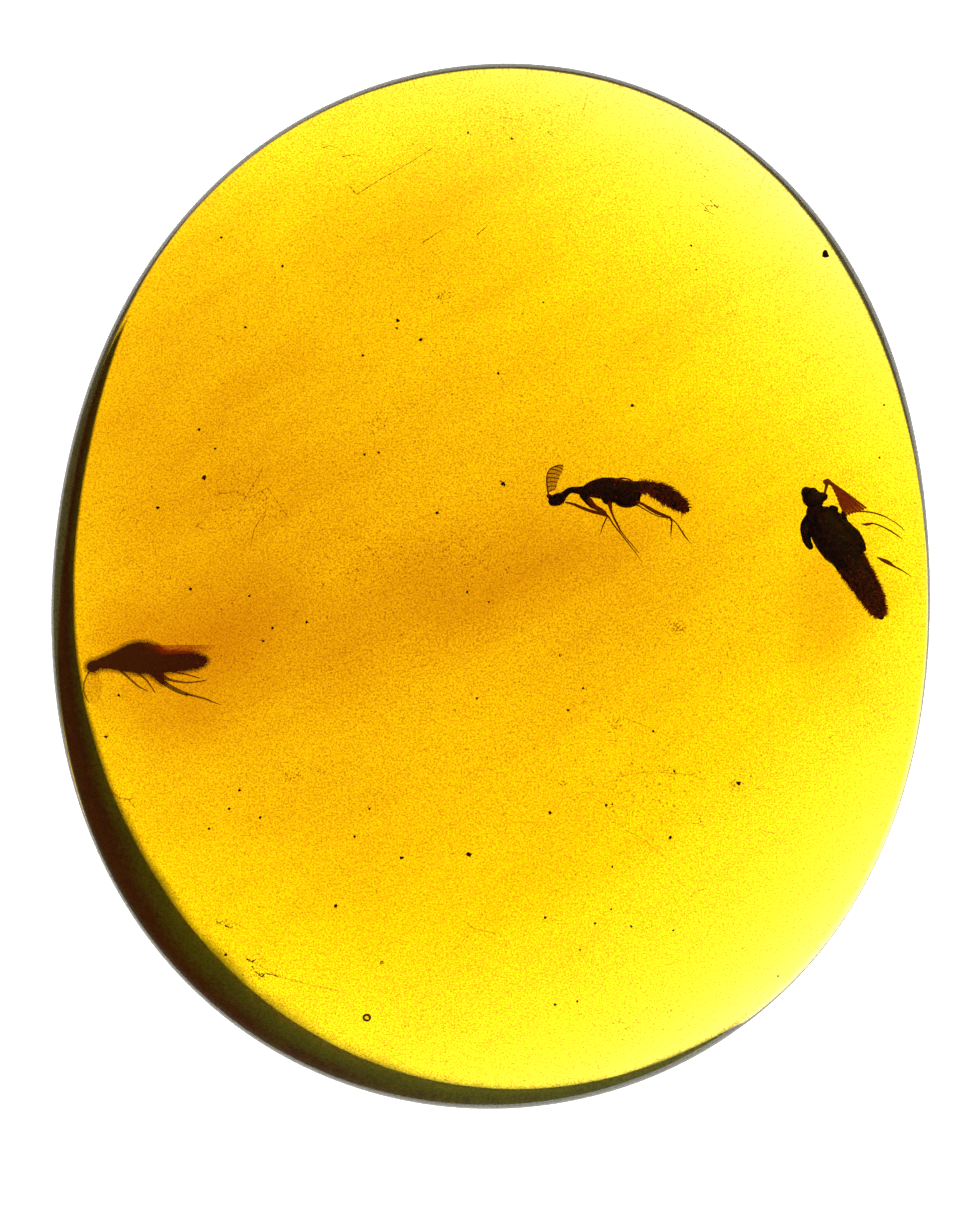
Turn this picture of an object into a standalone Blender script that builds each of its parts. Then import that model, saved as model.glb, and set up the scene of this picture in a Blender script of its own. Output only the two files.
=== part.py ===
"""Insect in amber: an oval polished stone of clear amber with three small beetles sealed in it.

Metres, +Z up. The stone lies on its flat underside with its long side along Y. The origin is on
that underside, at the middle of the stone. The clear solid is parted at one level plane, where
the pockets of the three beetles open.
"""

import math
from dataclasses import dataclass

import bmesh
import bpy
from mathutils import Matrix, Vector

MM = 0.001

# Stone, seen from above, in mm: a mean radius and its waves (number of lobes, size, direction in degrees)
MEAN_RADIUS = 11.06
OUTLINE_WAVES = ((1, 0.07, -27.0), (2, 0.97, 174.0), (3, 0.09, -129.0), (4, 0.05, -164.0))
OUTLINE_SHIFT = (0.0, -0.04)

# Dome: the highest point lies towards the lower left. A swell is (size, direction in degrees, narrowness)
STONE_HEIGHT = 5.8
APEX = (-1.5, -1.3)
GIRDLE_LEAST = 0.6
GIRDLE_SWELLS = ((3.5, 184.0, 2.3), (1.8, 0.0, 12))
DOME_POWER = 0.98
DOME_POWER_SWELLS = ((0.20, 65.0, 5), (0.12, 262.0, 1.5))

# Rounded edge where the dome meets the girdle: its height in mm and its share of the way to the rim
EDGE_HEIGHT = 0.18
EDGE_SHARE = 0.02

# Underside: a flat face with a sloped edge that is widest at the lower left
BEVEL_LEAST = 0.34
BEVEL_SWELLS = ((1.62, 234.0, 6), (0.48, 160.0, 16))
BEVEL_ROUNDNESS = 1.7

# Fineness of the stone's mesh; the sloped edge ends on one of its rings, so that the flat face is level
STONE_SEGMENTS = 80
STONE_RINGS = 26
BEVEL_RINGS = 11
BEVEL_SHARE = 2.0 * BEVEL_RINGS / STONE_RINGS

# Parting of the clear solid and the room around each beetle, in mm and to a whole hundredth of it
PARTING_HEIGHT = 1.705
PARTING_GAP = 0.3
POCKET_ROOM = 0.2
POCKET_DECIMALS = 2
CUTTER_REACH = 40.0

# Fineness of the beetles' meshes
TUBE_BEVEL_RESOLUTION = 2
BALL_SEGMENTS = 16
BALL_RINGS = 10
WELD_MM = 0.0005


@dataclass(frozen=True)
class Ball:
    """A rounded lump: its middle and half sizes in mm from the beetle's own middle."""

    middle: tuple
    half_sizes: tuple
    turn: float = 0.0


@dataclass(frozen=True)
class Limb:
    """A round tapering piece: (x, y, radius) at each bend, in mm, rising from start to end."""

    bends: tuple
    start: float = 0.0
    end: float = 0.0
    flatness: float = 1.0


@dataclass(frozen=True)
class Plate:
    """A thin flat piece: the corners of its outline and its height and thickness in mm."""

    corners: tuple
    height: float = 0.0
    thickness: float = 0.04


@dataclass(frozen=True)
class Beetle:
    """A beetle on its side: the place of its middle in the stone, its stretch and its pieces."""

    name: str
    place: tuple
    stretch: tuple
    pieces: tuple


MIDDLE_BEETLE = Beetle(
    "beetle_middle",
    (2.65, 1.84, 1.80),
    (0.99, 1.00, 0.96),
    (
        # Thorax with the wing cases over it
        Limb(
            (
                (-0.78, 0.08, 0.13),
                (-0.61, 0.13, 0.20),
                (-0.37, 0.15, 0.26),
                (-0.14, 0.12, 0.29),
                (0.09, 0.09, 0.28),
                (0.30, 0.14, 0.20),
                (0.47, 0.18, 0.15),
            ),
            flatness=0.8,
        ),
        Ball((0.18, -0.07, 0.0), (0.34, 0.23, 0.21), -8.0),
        Limb(
            ((-0.10, 0.25, 0.040), (0.06, 0.37, 0.045), (0.24, 0.35, 0.030), (0.40, 0.22, 0.030)),
            0.10,
            0.14,
        ),
        # Neck and head
        Limb(
            ((-1.30, -0.02, 0.07), (-1.13, 0.11, 0.07), (-0.92, 0.10, 0.09), (-0.65, 0.11, 0.14)),
            flatness=0.9,
        ),
        Ball((-1.41, -0.10, 0.0), (0.22, 0.15, 0.17), 20.0),
        # Abdomen
        Limb(
            (
                (0.40, 0.17, 0.15),
                (0.68, 0.18, 0.13),
                (0.85, 0.12, 0.17),
                (1.06, 0.02, 0.20),
                (1.26, -0.10, 0.19),
                (1.43, -0.23, 0.15),
                (1.57, -0.33, 0.07),
            ),
            flatness=0.85,
        ),
        # Fan of the antenna
        Plate(
            (
                (-1.60, -0.10),
                (-1.45, -0.08),
                (-1.44, 0.22),
                (-1.34, 0.43),
                (-1.24, 0.64),
                (-1.27, 0.71),
                (-1.46, 0.69),
                (-1.61, 0.58),
                (-1.67, 0.37),
                (-1.65, 0.14),
            ),
            height=0.08,
        ),
        # Front legs
        Limb(
            ((-0.78, 0.08, 0.070), (-0.71, -0.20, 0.053), (-0.49, -0.33, 0.050), (-0.29, -0.42, 0.030)),
            0.05,
            0.16,
        ),
        Limb(
            ((-0.31, -0.41, 0.030), (-0.23, -0.52, 0.022), (-0.36, -0.78, 0.020), (-0.41, -0.91, 0.016)),
            0.16,
            0.22,
        ),
        Limb(
            ((-1.19, -0.17, 0.023), (-0.96, -0.26, 0.035), (-0.67, -0.35, 0.044), (-0.35, -0.42, 0.038)),
            0.02,
            -0.12,
        ),
        # Middle legs
        Limb(
            (
                (-0.60, 0.00, 0.070),
                (-0.38, -0.40, 0.038),
                (-0.20, -0.51, 0.028),
                (-0.02, -0.80, 0.024),
                (0.24, -1.16, 0.020),
                (0.54, -1.54, 0.016),
            ),
            -0.05,
            -0.20,
        ),
        Limb(
            (
                (-0.22, -0.05, 0.080),
                (-0.16, -0.37, 0.035),
                (-0.05, -0.64, 0.026),
                (0.06, -0.87, 0.022),
                (0.30, -1.18, 0.016),
            ),
            0.08,
            0.20,
        ),
        # Hind legs
        Limb(
            (
                (0.30, -0.10, 0.070),
                (0.71, -0.30, 0.045),
                (0.92, -0.39, 0.047),
                (1.16, -0.50, 0.030),
                (1.22, -0.58, 0.024),
            ),
            0.10,
            0.16,
        ),
        Limb(((1.17, -0.50, 0.030), (1.23, -0.74, 0.023), (1.21, -0.96, 0.016)), 0.16, 0.18),
        Limb(
            (
                (0.35, -0.15, 0.060),
                (0.97, -0.45, 0.035),
                (1.20, -0.53, 0.028),
                (1.38, -0.72, 0.023),
                (1.55, -0.99, 0.020),
                (1.68, -1.12, 0.014),
            ),
            -0.10,
            -0.18,
        ),
    ),
)

RIGHT_BEETLE = Beetle(
    "beetle_right",
    (7.78, 0.72, 1.61),
    (1.04, 0.93, 0.98),
    (
        # Thorax
        Limb(
            (
                (-0.66, 1.06, 0.15),
                (-0.61, 0.90, 0.26),
                (-0.47, 0.69, 0.37),
                (-0.31, 0.43, 0.45),
                (-0.12, 0.15, 0.46),
                (0.03, -0.05, 0.41),
                (0.15, -0.23, 0.37),
            ),
            flatness=0.8,
        ),
        # Abdomen
        Limb(
            (
                (0.04, -0.05, 0.37),
                (0.18, -0.27, 0.37),
                (0.33, -0.50, 0.35),
                (0.55, -0.86, 0.31),
                (0.71, -1.15, 0.25),
                (0.82, -1.38, 0.17),
                (0.87, -1.50, 0.09),
            ),
            flatness=0.8,
        ),
        # Head with its bumps
        Ball((-0.69, 1.22, 0.0), (0.29, 0.23, 0.23)),
        Ball((-0.85, 1.36, 0.0), (0.13, 0.13, 0.14)),
        Ball((-0.48, 1.25, 0.05), (0.12, 0.12, 0.13)),
        # Lobes of the wing cases
        Limb(
            (
                (-0.76, 0.86, 0.09),
                (-0.85, 0.66, 0.12),
                (-0.87, 0.45, 0.12),
                (-0.83, 0.25, 0.10),
                (-0.70, 0.06, 0.08),
            ),
            -0.10,
            -0.10,
        ),
        Limb(
            (
                (-0.15, 0.75, 0.10),
                (0.03, 0.58, 0.14),
                (0.25, 0.38, 0.14),
                (0.41, 0.19, 0.11),
                (0.49, 0.06, 0.07),
            ),
            0.12,
            0.12,
        ),
        # Fan of the antenna with its shaft
        Plate(
            (
                (-0.44, 1.52),
                (-0.36, 1.66),
                (-0.02, 1.44),
                (0.26, 1.27),
                (0.52, 1.02),
                (0.48, 0.92),
                (0.04, 0.80),
                (-0.12, 1.08),
                (-0.26, 1.34),
            ),
            height=0.14,
            thickness=0.06,
        ),
        Limb(((-0.50, 1.25, 0.05), (-0.42, 1.42, 0.04), (-0.37, 1.58, 0.055)), 0.08, 0.14),
        Limb(((-0.06, 0.98, 0.05), (-0.03, 0.80, 0.05), (-0.10, 0.62, 0.06)), 0.14, 0.12),
        # Front leg
        Limb(
            ((-0.10, 0.60, 0.080), (0.25, 0.85, 0.035), (0.50, 0.90, 0.030), (0.78, 0.86, 0.026)),
            -0.05,
            -0.15,
        ),
        Limb(
            ((0.76, 0.86, 0.026), (1.00, 0.78, 0.023), (1.19, 0.65, 0.019), (1.36, 0.51, 0.014)),
            -0.15,
            -0.18,
        ),
        # Middle leg
        Limb(
            ((0.10, 0.36, 0.070), (0.43, 0.63, 0.035), (0.55, 0.62, 0.036), (0.69, 0.63, 0.025)),
            0.05,
            0.12,
        ),
        Limb(
            ((0.67, 0.63, 0.025), (0.89, 0.55, 0.022), (1.11, 0.46, 0.019), (1.34, 0.29, 0.014)),
            0.12,
            0.14,
        ),
        # Hind leg
        Limb(
            (
                (0.20, -0.05, 0.070),
                (0.53, -0.07, 0.035),
                (0.78, -0.15, 0.032),
                (0.98, -0.24, 0.050),
                (1.14, -0.32, 0.035),
                (1.33, -0.42, 0.023),
                (1.54, -0.55, 0.014),
            ),
            0.00,
            0.10,
        ),
    ),
)

LEFT_BEETLE = Beetle(
    "beetle_left",
    (-7.69, -1.64, 1.75),
    (0.99, 0.94, 0.94),
    (
        # Thorax
        Limb(
            (
                (-0.95, -0.06, 0.10),
                (-0.70, -0.01, 0.17),
                (-0.47, 0.01, 0.25),
                (-0.23, 0.04, 0.35),
                (0.00, 0.06, 0.39),
                (0.22, 0.04, 0.37),
                (0.43, -0.02, 0.29),
                (0.60, -0.03, 0.22),
            ),
            flatness=0.8,
        ),
        # Abdomen
        Limb(
            (
                (0.42, -0.03, 0.26),
                (0.61, -0.03, 0.24),
                (0.85, -0.03, 0.22),
                (1.08, -0.01, 0.20),
                (1.28, -0.01, 0.17),
                (1.45, 0.01, 0.10),
            ),
            flatness=0.85,
        ),
        # Head
        Ball((-1.08, -0.12, 0.0), (0.19, 0.14, 0.16), 15.0),
        # Wing that stands out behind
        Plate(
            (
                (0.10, 0.30),
                (0.18, 0.41),
                (0.47, 0.36),
                (1.05, 0.35),
                (1.64, 0.34),
                (1.58, 0.20),
                (1.05, 0.17),
                (0.40, 0.12),
            ),
            0.08,
            0.06,
        ),
        # Legs
        Limb(
            ((0.15, -0.10, 0.09), (0.23, -0.29, 0.06), (0.61, -0.58, 0.06), (1.05, -0.77, 0.05)),
            0.05,
            0.10,
        ),
        Limb(((1.03, -0.76, 0.045), (1.49, -0.88, 0.029), (1.80, -1.00, 0.018)), 0.10, 0.12),
        Limb(
            (
                (0.10, -0.15, 0.070),
                (0.64, -0.44, 0.042),
                (1.05, -0.50, 0.030),
                (1.36, -0.48, 0.022),
                (1.50, -0.44, 0.016),
            ),
            -0.08,
            -0.14,
        ),
        Limb(
            (
                (-0.55, -0.05, 0.060),
                (-0.47, -0.20, 0.041),
                (-0.23, -0.45, 0.035),
                (-0.04, -0.61, 0.024),
                (0.16, -0.70, 0.016),
            ),
            0.04,
            0.10,
        ),
        Limb(((-0.16, -0.20, 0.05), (0.15, -0.48, 0.03), (0.31, -0.74, 0.02)), -0.04, -0.10),
        # Fan of the antenna
        Plate(
            (
                (-1.13, -0.16),
                (-1.20, -0.22),
                (-1.30, -0.38),
                (-1.36, -0.58),
                (-1.31, -0.84),
                (-1.12, -1.06),
                (-0.95, -0.86),
                (-0.88, -0.68),
                (-0.92, -0.47),
                (-1.06, -0.30),
            ),
            height=0.04,
        ),
    ),
)

BEETLES = (MIDDLE_BEETLE, RIGHT_BEETLE, LEFT_BEETLE)


def clear_scene():
    """Remove every object of the scene that the script starts in."""
    for obj in list(bpy.data.objects):
        bpy.data.objects.remove(obj, do_unlink=True)


def new_collection(name):
    """A collection linked to the scene."""
    collection = bpy.data.collections.new(name)
    bpy.context.scene.collection.children.link(collection)
    return collection


def principled(name, color, roughness, transmission=0.0, coat=0.0):
    """A non-metallic material."""
    material = bpy.data.materials.new(name)
    material.use_nodes = True
    shader = material.node_tree.nodes["Principled BSDF"]
    shader.inputs["Base Color"].default_value = (*color, 1.0)
    shader.inputs["Roughness"].default_value = roughness
    shader.inputs["Metallic"].default_value = 0.0
    shader.inputs["Transmission Weight"].default_value = transmission
    shader.inputs["Coat Weight"].default_value = coat
    shader.inputs["IOR"].default_value = 1.54
    material.diffuse_color = (*color, 1.0)
    return material


def amber_material():
    """Clear golden amber with a polish."""
    return principled("amber", (0.95, 0.55, 0.08), 0.05, transmission=1.0)


def cuticle_material():
    """Dark brown shiny beetle skin."""
    return principled("cuticle", (0.07, 0.03, 0.02), 0.35, coat=0.3)


def waves(mean, parts, angle):
    """A value that goes round the stone as a mean and a few waves."""
    return mean + sum(size * math.cos(lobes * angle - math.radians(turn)) for lobes, size, turn in parts)


def swells(base, parts, angle):
    """A value with swells towards some directions round the stone."""
    value = base
    for size, turn, narrowness in parts:
        near = (1.0 + math.cos(angle - math.radians(turn))) / 2.0
        value += size * near**narrowness
    return value


def outline_point(angle):
    """A point of the stone's outline seen from above, in mm."""
    radius = waves(MEAN_RADIUS, OUTLINE_WAVES, angle)
    return (
        OUTLINE_SHIFT[0] + radius * math.cos(angle),
        OUTLINE_SHIFT[1] + radius * math.sin(angle),
    )


def dome_point(angle, reach):
    """A point of the dome: reach is 0 at the highest point and 1 at the girdle."""
    rim_x, rim_y = outline_point(angle)
    girdle = swells(GIRDLE_LEAST, GIRDLE_SWELLS, angle)
    power = swells(DOME_POWER, DOME_POWER_SWELLS, angle)
    rise = max(0.0, 1.0 - reach * reach) ** power
    near = max(0.0, (reach - 1.0) / EDGE_SHARE + 1.0)
    edge = EDGE_HEIGHT * math.sqrt(max(0.0, 1.0 - near * near))
    return (
        APEX[0] + reach * (rim_x - APEX[0]),
        APEX[1] + reach * (rim_y - APEX[1]),
        girdle + edge + (STONE_HEIGHT - girdle - EDGE_HEIGHT) * rise,
    )


def underside_point(angle, share):
    """A point below the girdle: share is 0 at the girdle, then down the sloped edge to the flat face."""
    rim_x, rim_y = outline_point(angle)
    if share > BEVEL_SHARE:
        inward = (1.0 - share) / (1.0 - BEVEL_SHARE)
        edge_x, edge_y, _ = underside_point(angle, BEVEL_SHARE)
        return (edge_x * inward, edge_y * inward, 0.0)
    turn = 0.5 * math.pi * share / BEVEL_SHARE
    across = math.cos(turn) ** (2.0 / BEVEL_ROUNDNESS)
    down = math.sin(turn) ** (2.0 / BEVEL_ROUNDNESS)
    inset = swells(BEVEL_LEAST, BEVEL_SWELLS, angle) * (1.0 - across) / math.hypot(rim_x, rim_y)
    girdle = swells(GIRDLE_LEAST, GIRDLE_SWELLS, angle)
    return (rim_x * (1.0 - inset), rim_y * (1.0 - inset), girdle * (1.0 - down))


def stone_point(unit):
    """Where a point of a unit sphere goes on the stone, in mm."""
    angle = math.atan2(unit.y, unit.x)
    latitude = math.asin(max(-1.0, min(1.0, unit.z)))
    if latitude >= 0.0:
        return dome_point(angle, math.cos(latitude))
    return underside_point(angle, -latitude / (0.5 * math.pi))


def stone_mesh(name):
    """The whole stone as one closed mesh, a sphere drawn out to the stone's form."""
    shape = bmesh.new()
    bmesh.ops.create_uvsphere(shape, u_segments=STONE_SEGMENTS, v_segments=STONE_RINGS, radius=1.0)
    for vertex in shape.verts:
        vertex.co = Vector(stone_point(vertex.co)) * MM
    bmesh.ops.recalc_face_normals(shape, faces=shape.faces)
    mesh = bpy.data.meshes.new(name)
    shape.to_mesh(mesh)
    shape.free()
    return mesh


def add_object(name, mesh, collection):
    """An object of a mesh in a collection."""
    obj = bpy.data.objects.new(name, mesh)
    collection.objects.link(obj)
    return obj


def mark_as_cutter(obj):
    """A cutter shows as wire and stays out of renders."""
    obj.hide_render = True
    obj.display_type = "WIRE"


def ball_object(name, ball, collection):
    """A rounded lump as a stretched sphere."""
    shape = bmesh.new()
    stretch = Matrix.Diagonal((*ball.half_sizes, 1.0))
    turn = Matrix.Rotation(math.radians(ball.turn), 4, "Z")
    move = Matrix.Translation(ball.middle)
    bmesh.ops.create_uvsphere(
        shape, u_segments=BALL_SEGMENTS, v_segments=BALL_RINGS, radius=1.0, matrix=move @ turn @ stretch
    )
    mesh = bpy.data.meshes.new(name)
    shape.to_mesh(mesh)
    shape.free()
    return add_object(name, mesh, collection)


def mesh_from_curve(name, curve, collection):
    """A curve made a closed mesh, its caps welded to its sides."""
    drawn = add_object(name + "_curve", curve, collection)
    bpy.context.view_layer.update()
    depsgraph = bpy.context.evaluated_depsgraph_get()
    mesh = bpy.data.meshes.new_from_object(drawn.evaluated_get(depsgraph))
    shape = bmesh.new()
    shape.from_mesh(mesh)
    bmesh.ops.remove_doubles(shape, verts=shape.verts, dist=WELD_MM)
    bmesh.ops.recalc_face_normals(shape, faces=shape.faces)
    shape.to_mesh(mesh)
    shape.free()
    obj = add_object(name, mesh, collection)
    obj.matrix_world = drawn.matrix_world.copy()
    bpy.data.objects.remove(drawn, do_unlink=True)
    return obj


def limb_object(name, limb, collection):
    """A round tapering tube through the limb's bends."""
    curve = bpy.data.curves.new(name, "CURVE")
    curve.dimensions = "3D"
    curve.bevel_depth = 1.0
    curve.bevel_resolution = TUBE_BEVEL_RESOLUTION
    curve.use_fill_caps = True
    spline = curve.splines.new("POLY")
    spline.points.add(len(limb.bends) - 1)
    last = len(limb.bends) - 1
    for index, (x, y, radius) in enumerate(limb.bends):
        height = limb.start + (limb.end - limb.start) * index / last
        spline.points[index].co = (x, y, height, 1.0)
        spline.points[index].radius = radius
    obj = mesh_from_curve(name, curve, collection)
    middle = 0.5 * (limb.start + limb.end)
    squeeze = Matrix.Diagonal((1.0, 1.0, limb.flatness, 1.0))
    lift = Matrix.Translation((0.0, 0.0, middle))
    obj.data.transform(lift @ squeeze @ lift.inverted())
    return obj


def plate_object(name, plate, collection):
    """A thin flat piece from its outline."""
    curve = bpy.data.curves.new(name, "CURVE")
    curve.dimensions = "2D"
    curve.fill_mode = "BOTH"
    curve.extrude = 0.5 * plate.thickness
    spline = curve.splines.new("POLY")
    spline.points.add(len(plate.corners) - 1)
    for point, (x, y) in zip(spline.points, plate.corners):
        point.co = (x, y, 0.0, 1.0)
    spline.use_cyclic_u = True
    obj = mesh_from_curve(name, curve, collection)
    obj.data.transform(Matrix.Translation((0.0, 0.0, plate.height)))
    return obj


MAKERS = {Ball: ball_object, Limb: limb_object, Plate: plate_object}


def fused_mesh(name, pieces):
    """One closed mesh of overlapping pieces, joined in millimetres and then brought to metres."""
    base = pieces[0]
    for piece in pieces[1:]:
        joint = base.modifiers.new(piece.name, "BOOLEAN")
        joint.operation = "UNION"
        joint.solver = "EXACT"
        joint.object = piece
    bpy.context.view_layer.update()
    depsgraph = bpy.context.evaluated_depsgraph_get()
    mesh = bpy.data.meshes.new_from_object(base.evaluated_get(depsgraph))
    mesh.name = name
    mesh.transform(Matrix.Scale(MM, 4))
    for piece in pieces:
        bpy.data.objects.remove(piece, do_unlink=True)
    return mesh


def beetle_object(beetle, collection, material):
    """A whole beetle in its place in the stone."""
    pieces = [
        MAKERS[type(piece)](f"{beetle.name}_piece_{number}", piece, collection)
        for number, piece in enumerate(beetle.pieces)
    ]
    obj = add_object(beetle.name, fused_mesh(beetle.name, pieces), collection)
    obj.data.transform(Matrix.Diagonal((*beetle.stretch, 1.0)))
    obj.data.shade_smooth()
    obj.data.materials.clear()
    obj.data.materials.append(material)
    obj.location = Vector(beetle.place) * MM
    return obj


def pocket_cutter(beetle, collection):
    """The room around a beetle: the hull of its points, each with some room on every side."""
    room = POCKET_ROOM / math.sqrt(3.0)
    corners = [Vector((x, y, z)) * room for x in (-1, 1) for y in (-1, 1) for z in (-1, 1)]
    places = [vertex.co / MM + corner for vertex in beetle.data.vertices for corner in corners]
    points = {tuple(round(value, POCKET_DECIMALS) for value in place) for place in places}
    shape = bmesh.new()
    for point in sorted(points):
        shape.verts.new(point)
    hull = bmesh.ops.convex_hull(shape, input=shape.verts)
    inside = [item for item in hull["geom_interior"] if isinstance(item, bmesh.types.BMVert)]
    bmesh.ops.delete(shape, geom=inside, context="VERTS")
    bmesh.ops.recalc_face_normals(shape, faces=shape.faces)
    mesh = bpy.data.meshes.new(beetle.name + "_pocket")
    shape.to_mesh(mesh)
    shape.free()
    mesh.transform(Matrix.Scale(MM, 4))
    cutter = add_object(beetle.name + "_pocket", mesh, collection)
    cutter.location = beetle.location
    mark_as_cutter(cutter)
    return cutter


def slab_cutter(name, low, high, collection):
    """A wide block between two heights in mm."""
    shape = bmesh.new()
    size = Matrix.Diagonal((CUTTER_REACH * MM, CUTTER_REACH * MM, (high - low) * MM, 1.0))
    move = Matrix.Translation((0.0, 0.0, 0.5 * (low + high) * MM))
    bmesh.ops.create_cube(shape, size=1.0, matrix=move @ size)
    mesh = bpy.data.meshes.new(name)
    shape.to_mesh(mesh)
    shape.free()
    cutter = add_object(name, mesh, collection)
    mark_as_cutter(cutter)
    return cutter


def cut(obj, cutters):
    """Take each cutter out of an object."""
    for cutter in cutters:
        bite = obj.modifiers.new(cutter.name, "BOOLEAN")
        bite.operation = "DIFFERENCE"
        bite.solver = "EXACT"
        bite.object = cutter


def amber_half(name, cutters, collection, material):
    """One half of the clear stone with its share of the pockets."""
    obj = add_object(name, stone_mesh(name), collection)
    obj.data.shade_smooth()
    obj.data.set_sharp_from_angle(angle=math.radians(30.0))
    obj.data.materials.append(material)
    cut(obj, cutters)
    return obj


def main():
    """Build the stone's halves and the three beetles."""
    clear_scene()
    parts = new_collection("insect_in_amber")
    cutters = new_collection("cutters")
    amber = amber_material()
    cuticle = cuticle_material()
    beetles = [beetle_object(beetle, parts, cuticle) for beetle in BEETLES]
    pockets = [pocket_cutter(beetle, cutters) for beetle in beetles]
    below = slab_cutter("below_parting", -CUTTER_REACH, PARTING_HEIGHT + 0.5 * PARTING_GAP, cutters)
    above = slab_cutter("above_parting", PARTING_HEIGHT - 0.5 * PARTING_GAP, CUTTER_REACH, cutters)
    amber_half("amber_upper", [below, *pockets], parts, amber)
    amber_half("amber_lower", [above, *pockets], parts, amber)


main()
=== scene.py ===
"""Insect in amber: an oval polished stone of clear golden amber with three small beetles sealed in it.

Lengths are in millimetres and become metres as each mesh is made. The stone's and the beetles' sizes
repeat those of the construction. Places read off the photograph are in its own pixels and are carried
through the dome's surface, as light is, to where the thing really lies in the amber.
"""

import logging
import math
import random
from dataclasses import dataclass
from enum import Enum
from typing import Sequence, Union

import bmesh
import bpy
from mathutils import Matrix, Vector, noise


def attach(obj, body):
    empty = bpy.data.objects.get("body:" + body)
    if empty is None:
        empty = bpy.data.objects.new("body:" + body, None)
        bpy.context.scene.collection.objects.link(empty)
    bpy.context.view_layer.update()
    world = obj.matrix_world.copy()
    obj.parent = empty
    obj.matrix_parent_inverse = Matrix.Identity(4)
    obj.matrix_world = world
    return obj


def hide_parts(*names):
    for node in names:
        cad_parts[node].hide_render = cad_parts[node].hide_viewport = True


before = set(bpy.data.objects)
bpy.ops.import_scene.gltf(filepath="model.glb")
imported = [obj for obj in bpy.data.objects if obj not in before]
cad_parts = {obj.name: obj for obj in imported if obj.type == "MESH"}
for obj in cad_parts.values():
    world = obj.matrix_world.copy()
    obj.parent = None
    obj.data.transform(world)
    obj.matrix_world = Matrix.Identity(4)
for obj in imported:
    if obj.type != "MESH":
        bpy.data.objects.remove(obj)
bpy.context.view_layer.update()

MM = 0.001
LOG = logging.getLogger("insect_in_amber")
WHITE = (1.0, 1.0, 1.0)
# Corners of the section of a body's tubes, and the least radius of any tube.
BODY_SIDES = 20
THINNEST = 0.004
# Angles of the rings that round off a tube's end, outermost first.
CAP_ANGLES = (1.25, 0.9, 0.45)
# A direction that hardly any hair lies along, from which each hair's section is squared.
HAIR_ASIDE = Vector((0.3, 0.2, 0.93))

Number = Union[float, int]
Colour = tuple[float, float, float]
Point = tuple[float, float, float]
Pixel = tuple[float, float]
Pair = tuple[float, float]


def placed(name: str, data: bpy.types.ID) -> bpy.types.Object:
    """Put a new object in the scene.

    Args:
        name: the object's name.
        data: its mesh, lamp or camera.

    Returns:
        The object.
    """
    made = bpy.data.objects.new(name, data)
    bpy.context.scene.collection.objects.link(made)
    return made


def closed(form: bmesh.types.BMesh, name: str) -> bpy.types.Mesh:
    """Turn a form into a mesh.

    Args:
        form: the form, which is used up.
        name: the mesh's name.

    Returns:
        The mesh.
    """
    mesh = bpy.data.meshes.new(name)
    form.to_mesh(mesh)
    form.free()
    return mesh


class Socket:
    """One output of a node, with arithmetic that adds Math nodes to its graph."""

    def __init__(self, graph: "Graph", link: bpy.types.NodeSocket) -> None:
        """Keep the graph and the output.

        Args:
            graph: the graph that the output belongs to.
            link: the node's output socket.
        """
        self.graph = graph
        self.link = link

    def math(self, operation: str, *others: "Operand", clamp: bool = False) -> "Socket":
        """Apply a Math node to this value.

        Args:
            operation: the Math node's operation.
            others: the further values it takes.
            clamp: keep the result between 0 and 1.

        Returns:
            The result.
        """
        values = dict(enumerate((self, *others)))
        return self.graph.node("ShaderNodeMath", {"operation": operation, "use_clamp": clamp}, values)

    def __add__(self, other: "Operand") -> "Socket":
        """Add a value."""
        return self.math("ADD", other)

    def __radd__(self, other: "Operand") -> "Socket":
        """Add to a value."""
        return self.math("ADD", other)

    def __sub__(self, other: "Operand") -> "Socket":
        """Take a value away."""
        return self.math("SUBTRACT", other)

    def __rsub__(self, other: Number) -> "Socket":
        """Take this from a number."""
        return self.graph.node("ShaderNodeMath", {"operation": "SUBTRACT"}, {0: other, 1: self})

    def __mul__(self, other: "Operand") -> "Socket":
        """Multiply by a value."""
        return self.math("MULTIPLY", other)

    def __rmul__(self, other: "Operand") -> "Socket":
        """Multiply a value by this."""
        return self.math("MULTIPLY", other)

    def clamped(self) -> "Socket":
        """Keep the value between 0 and 1."""
        return self.math("ADD", 0.0, clamp=True)


Operand = Union[Socket, Number]


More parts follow.
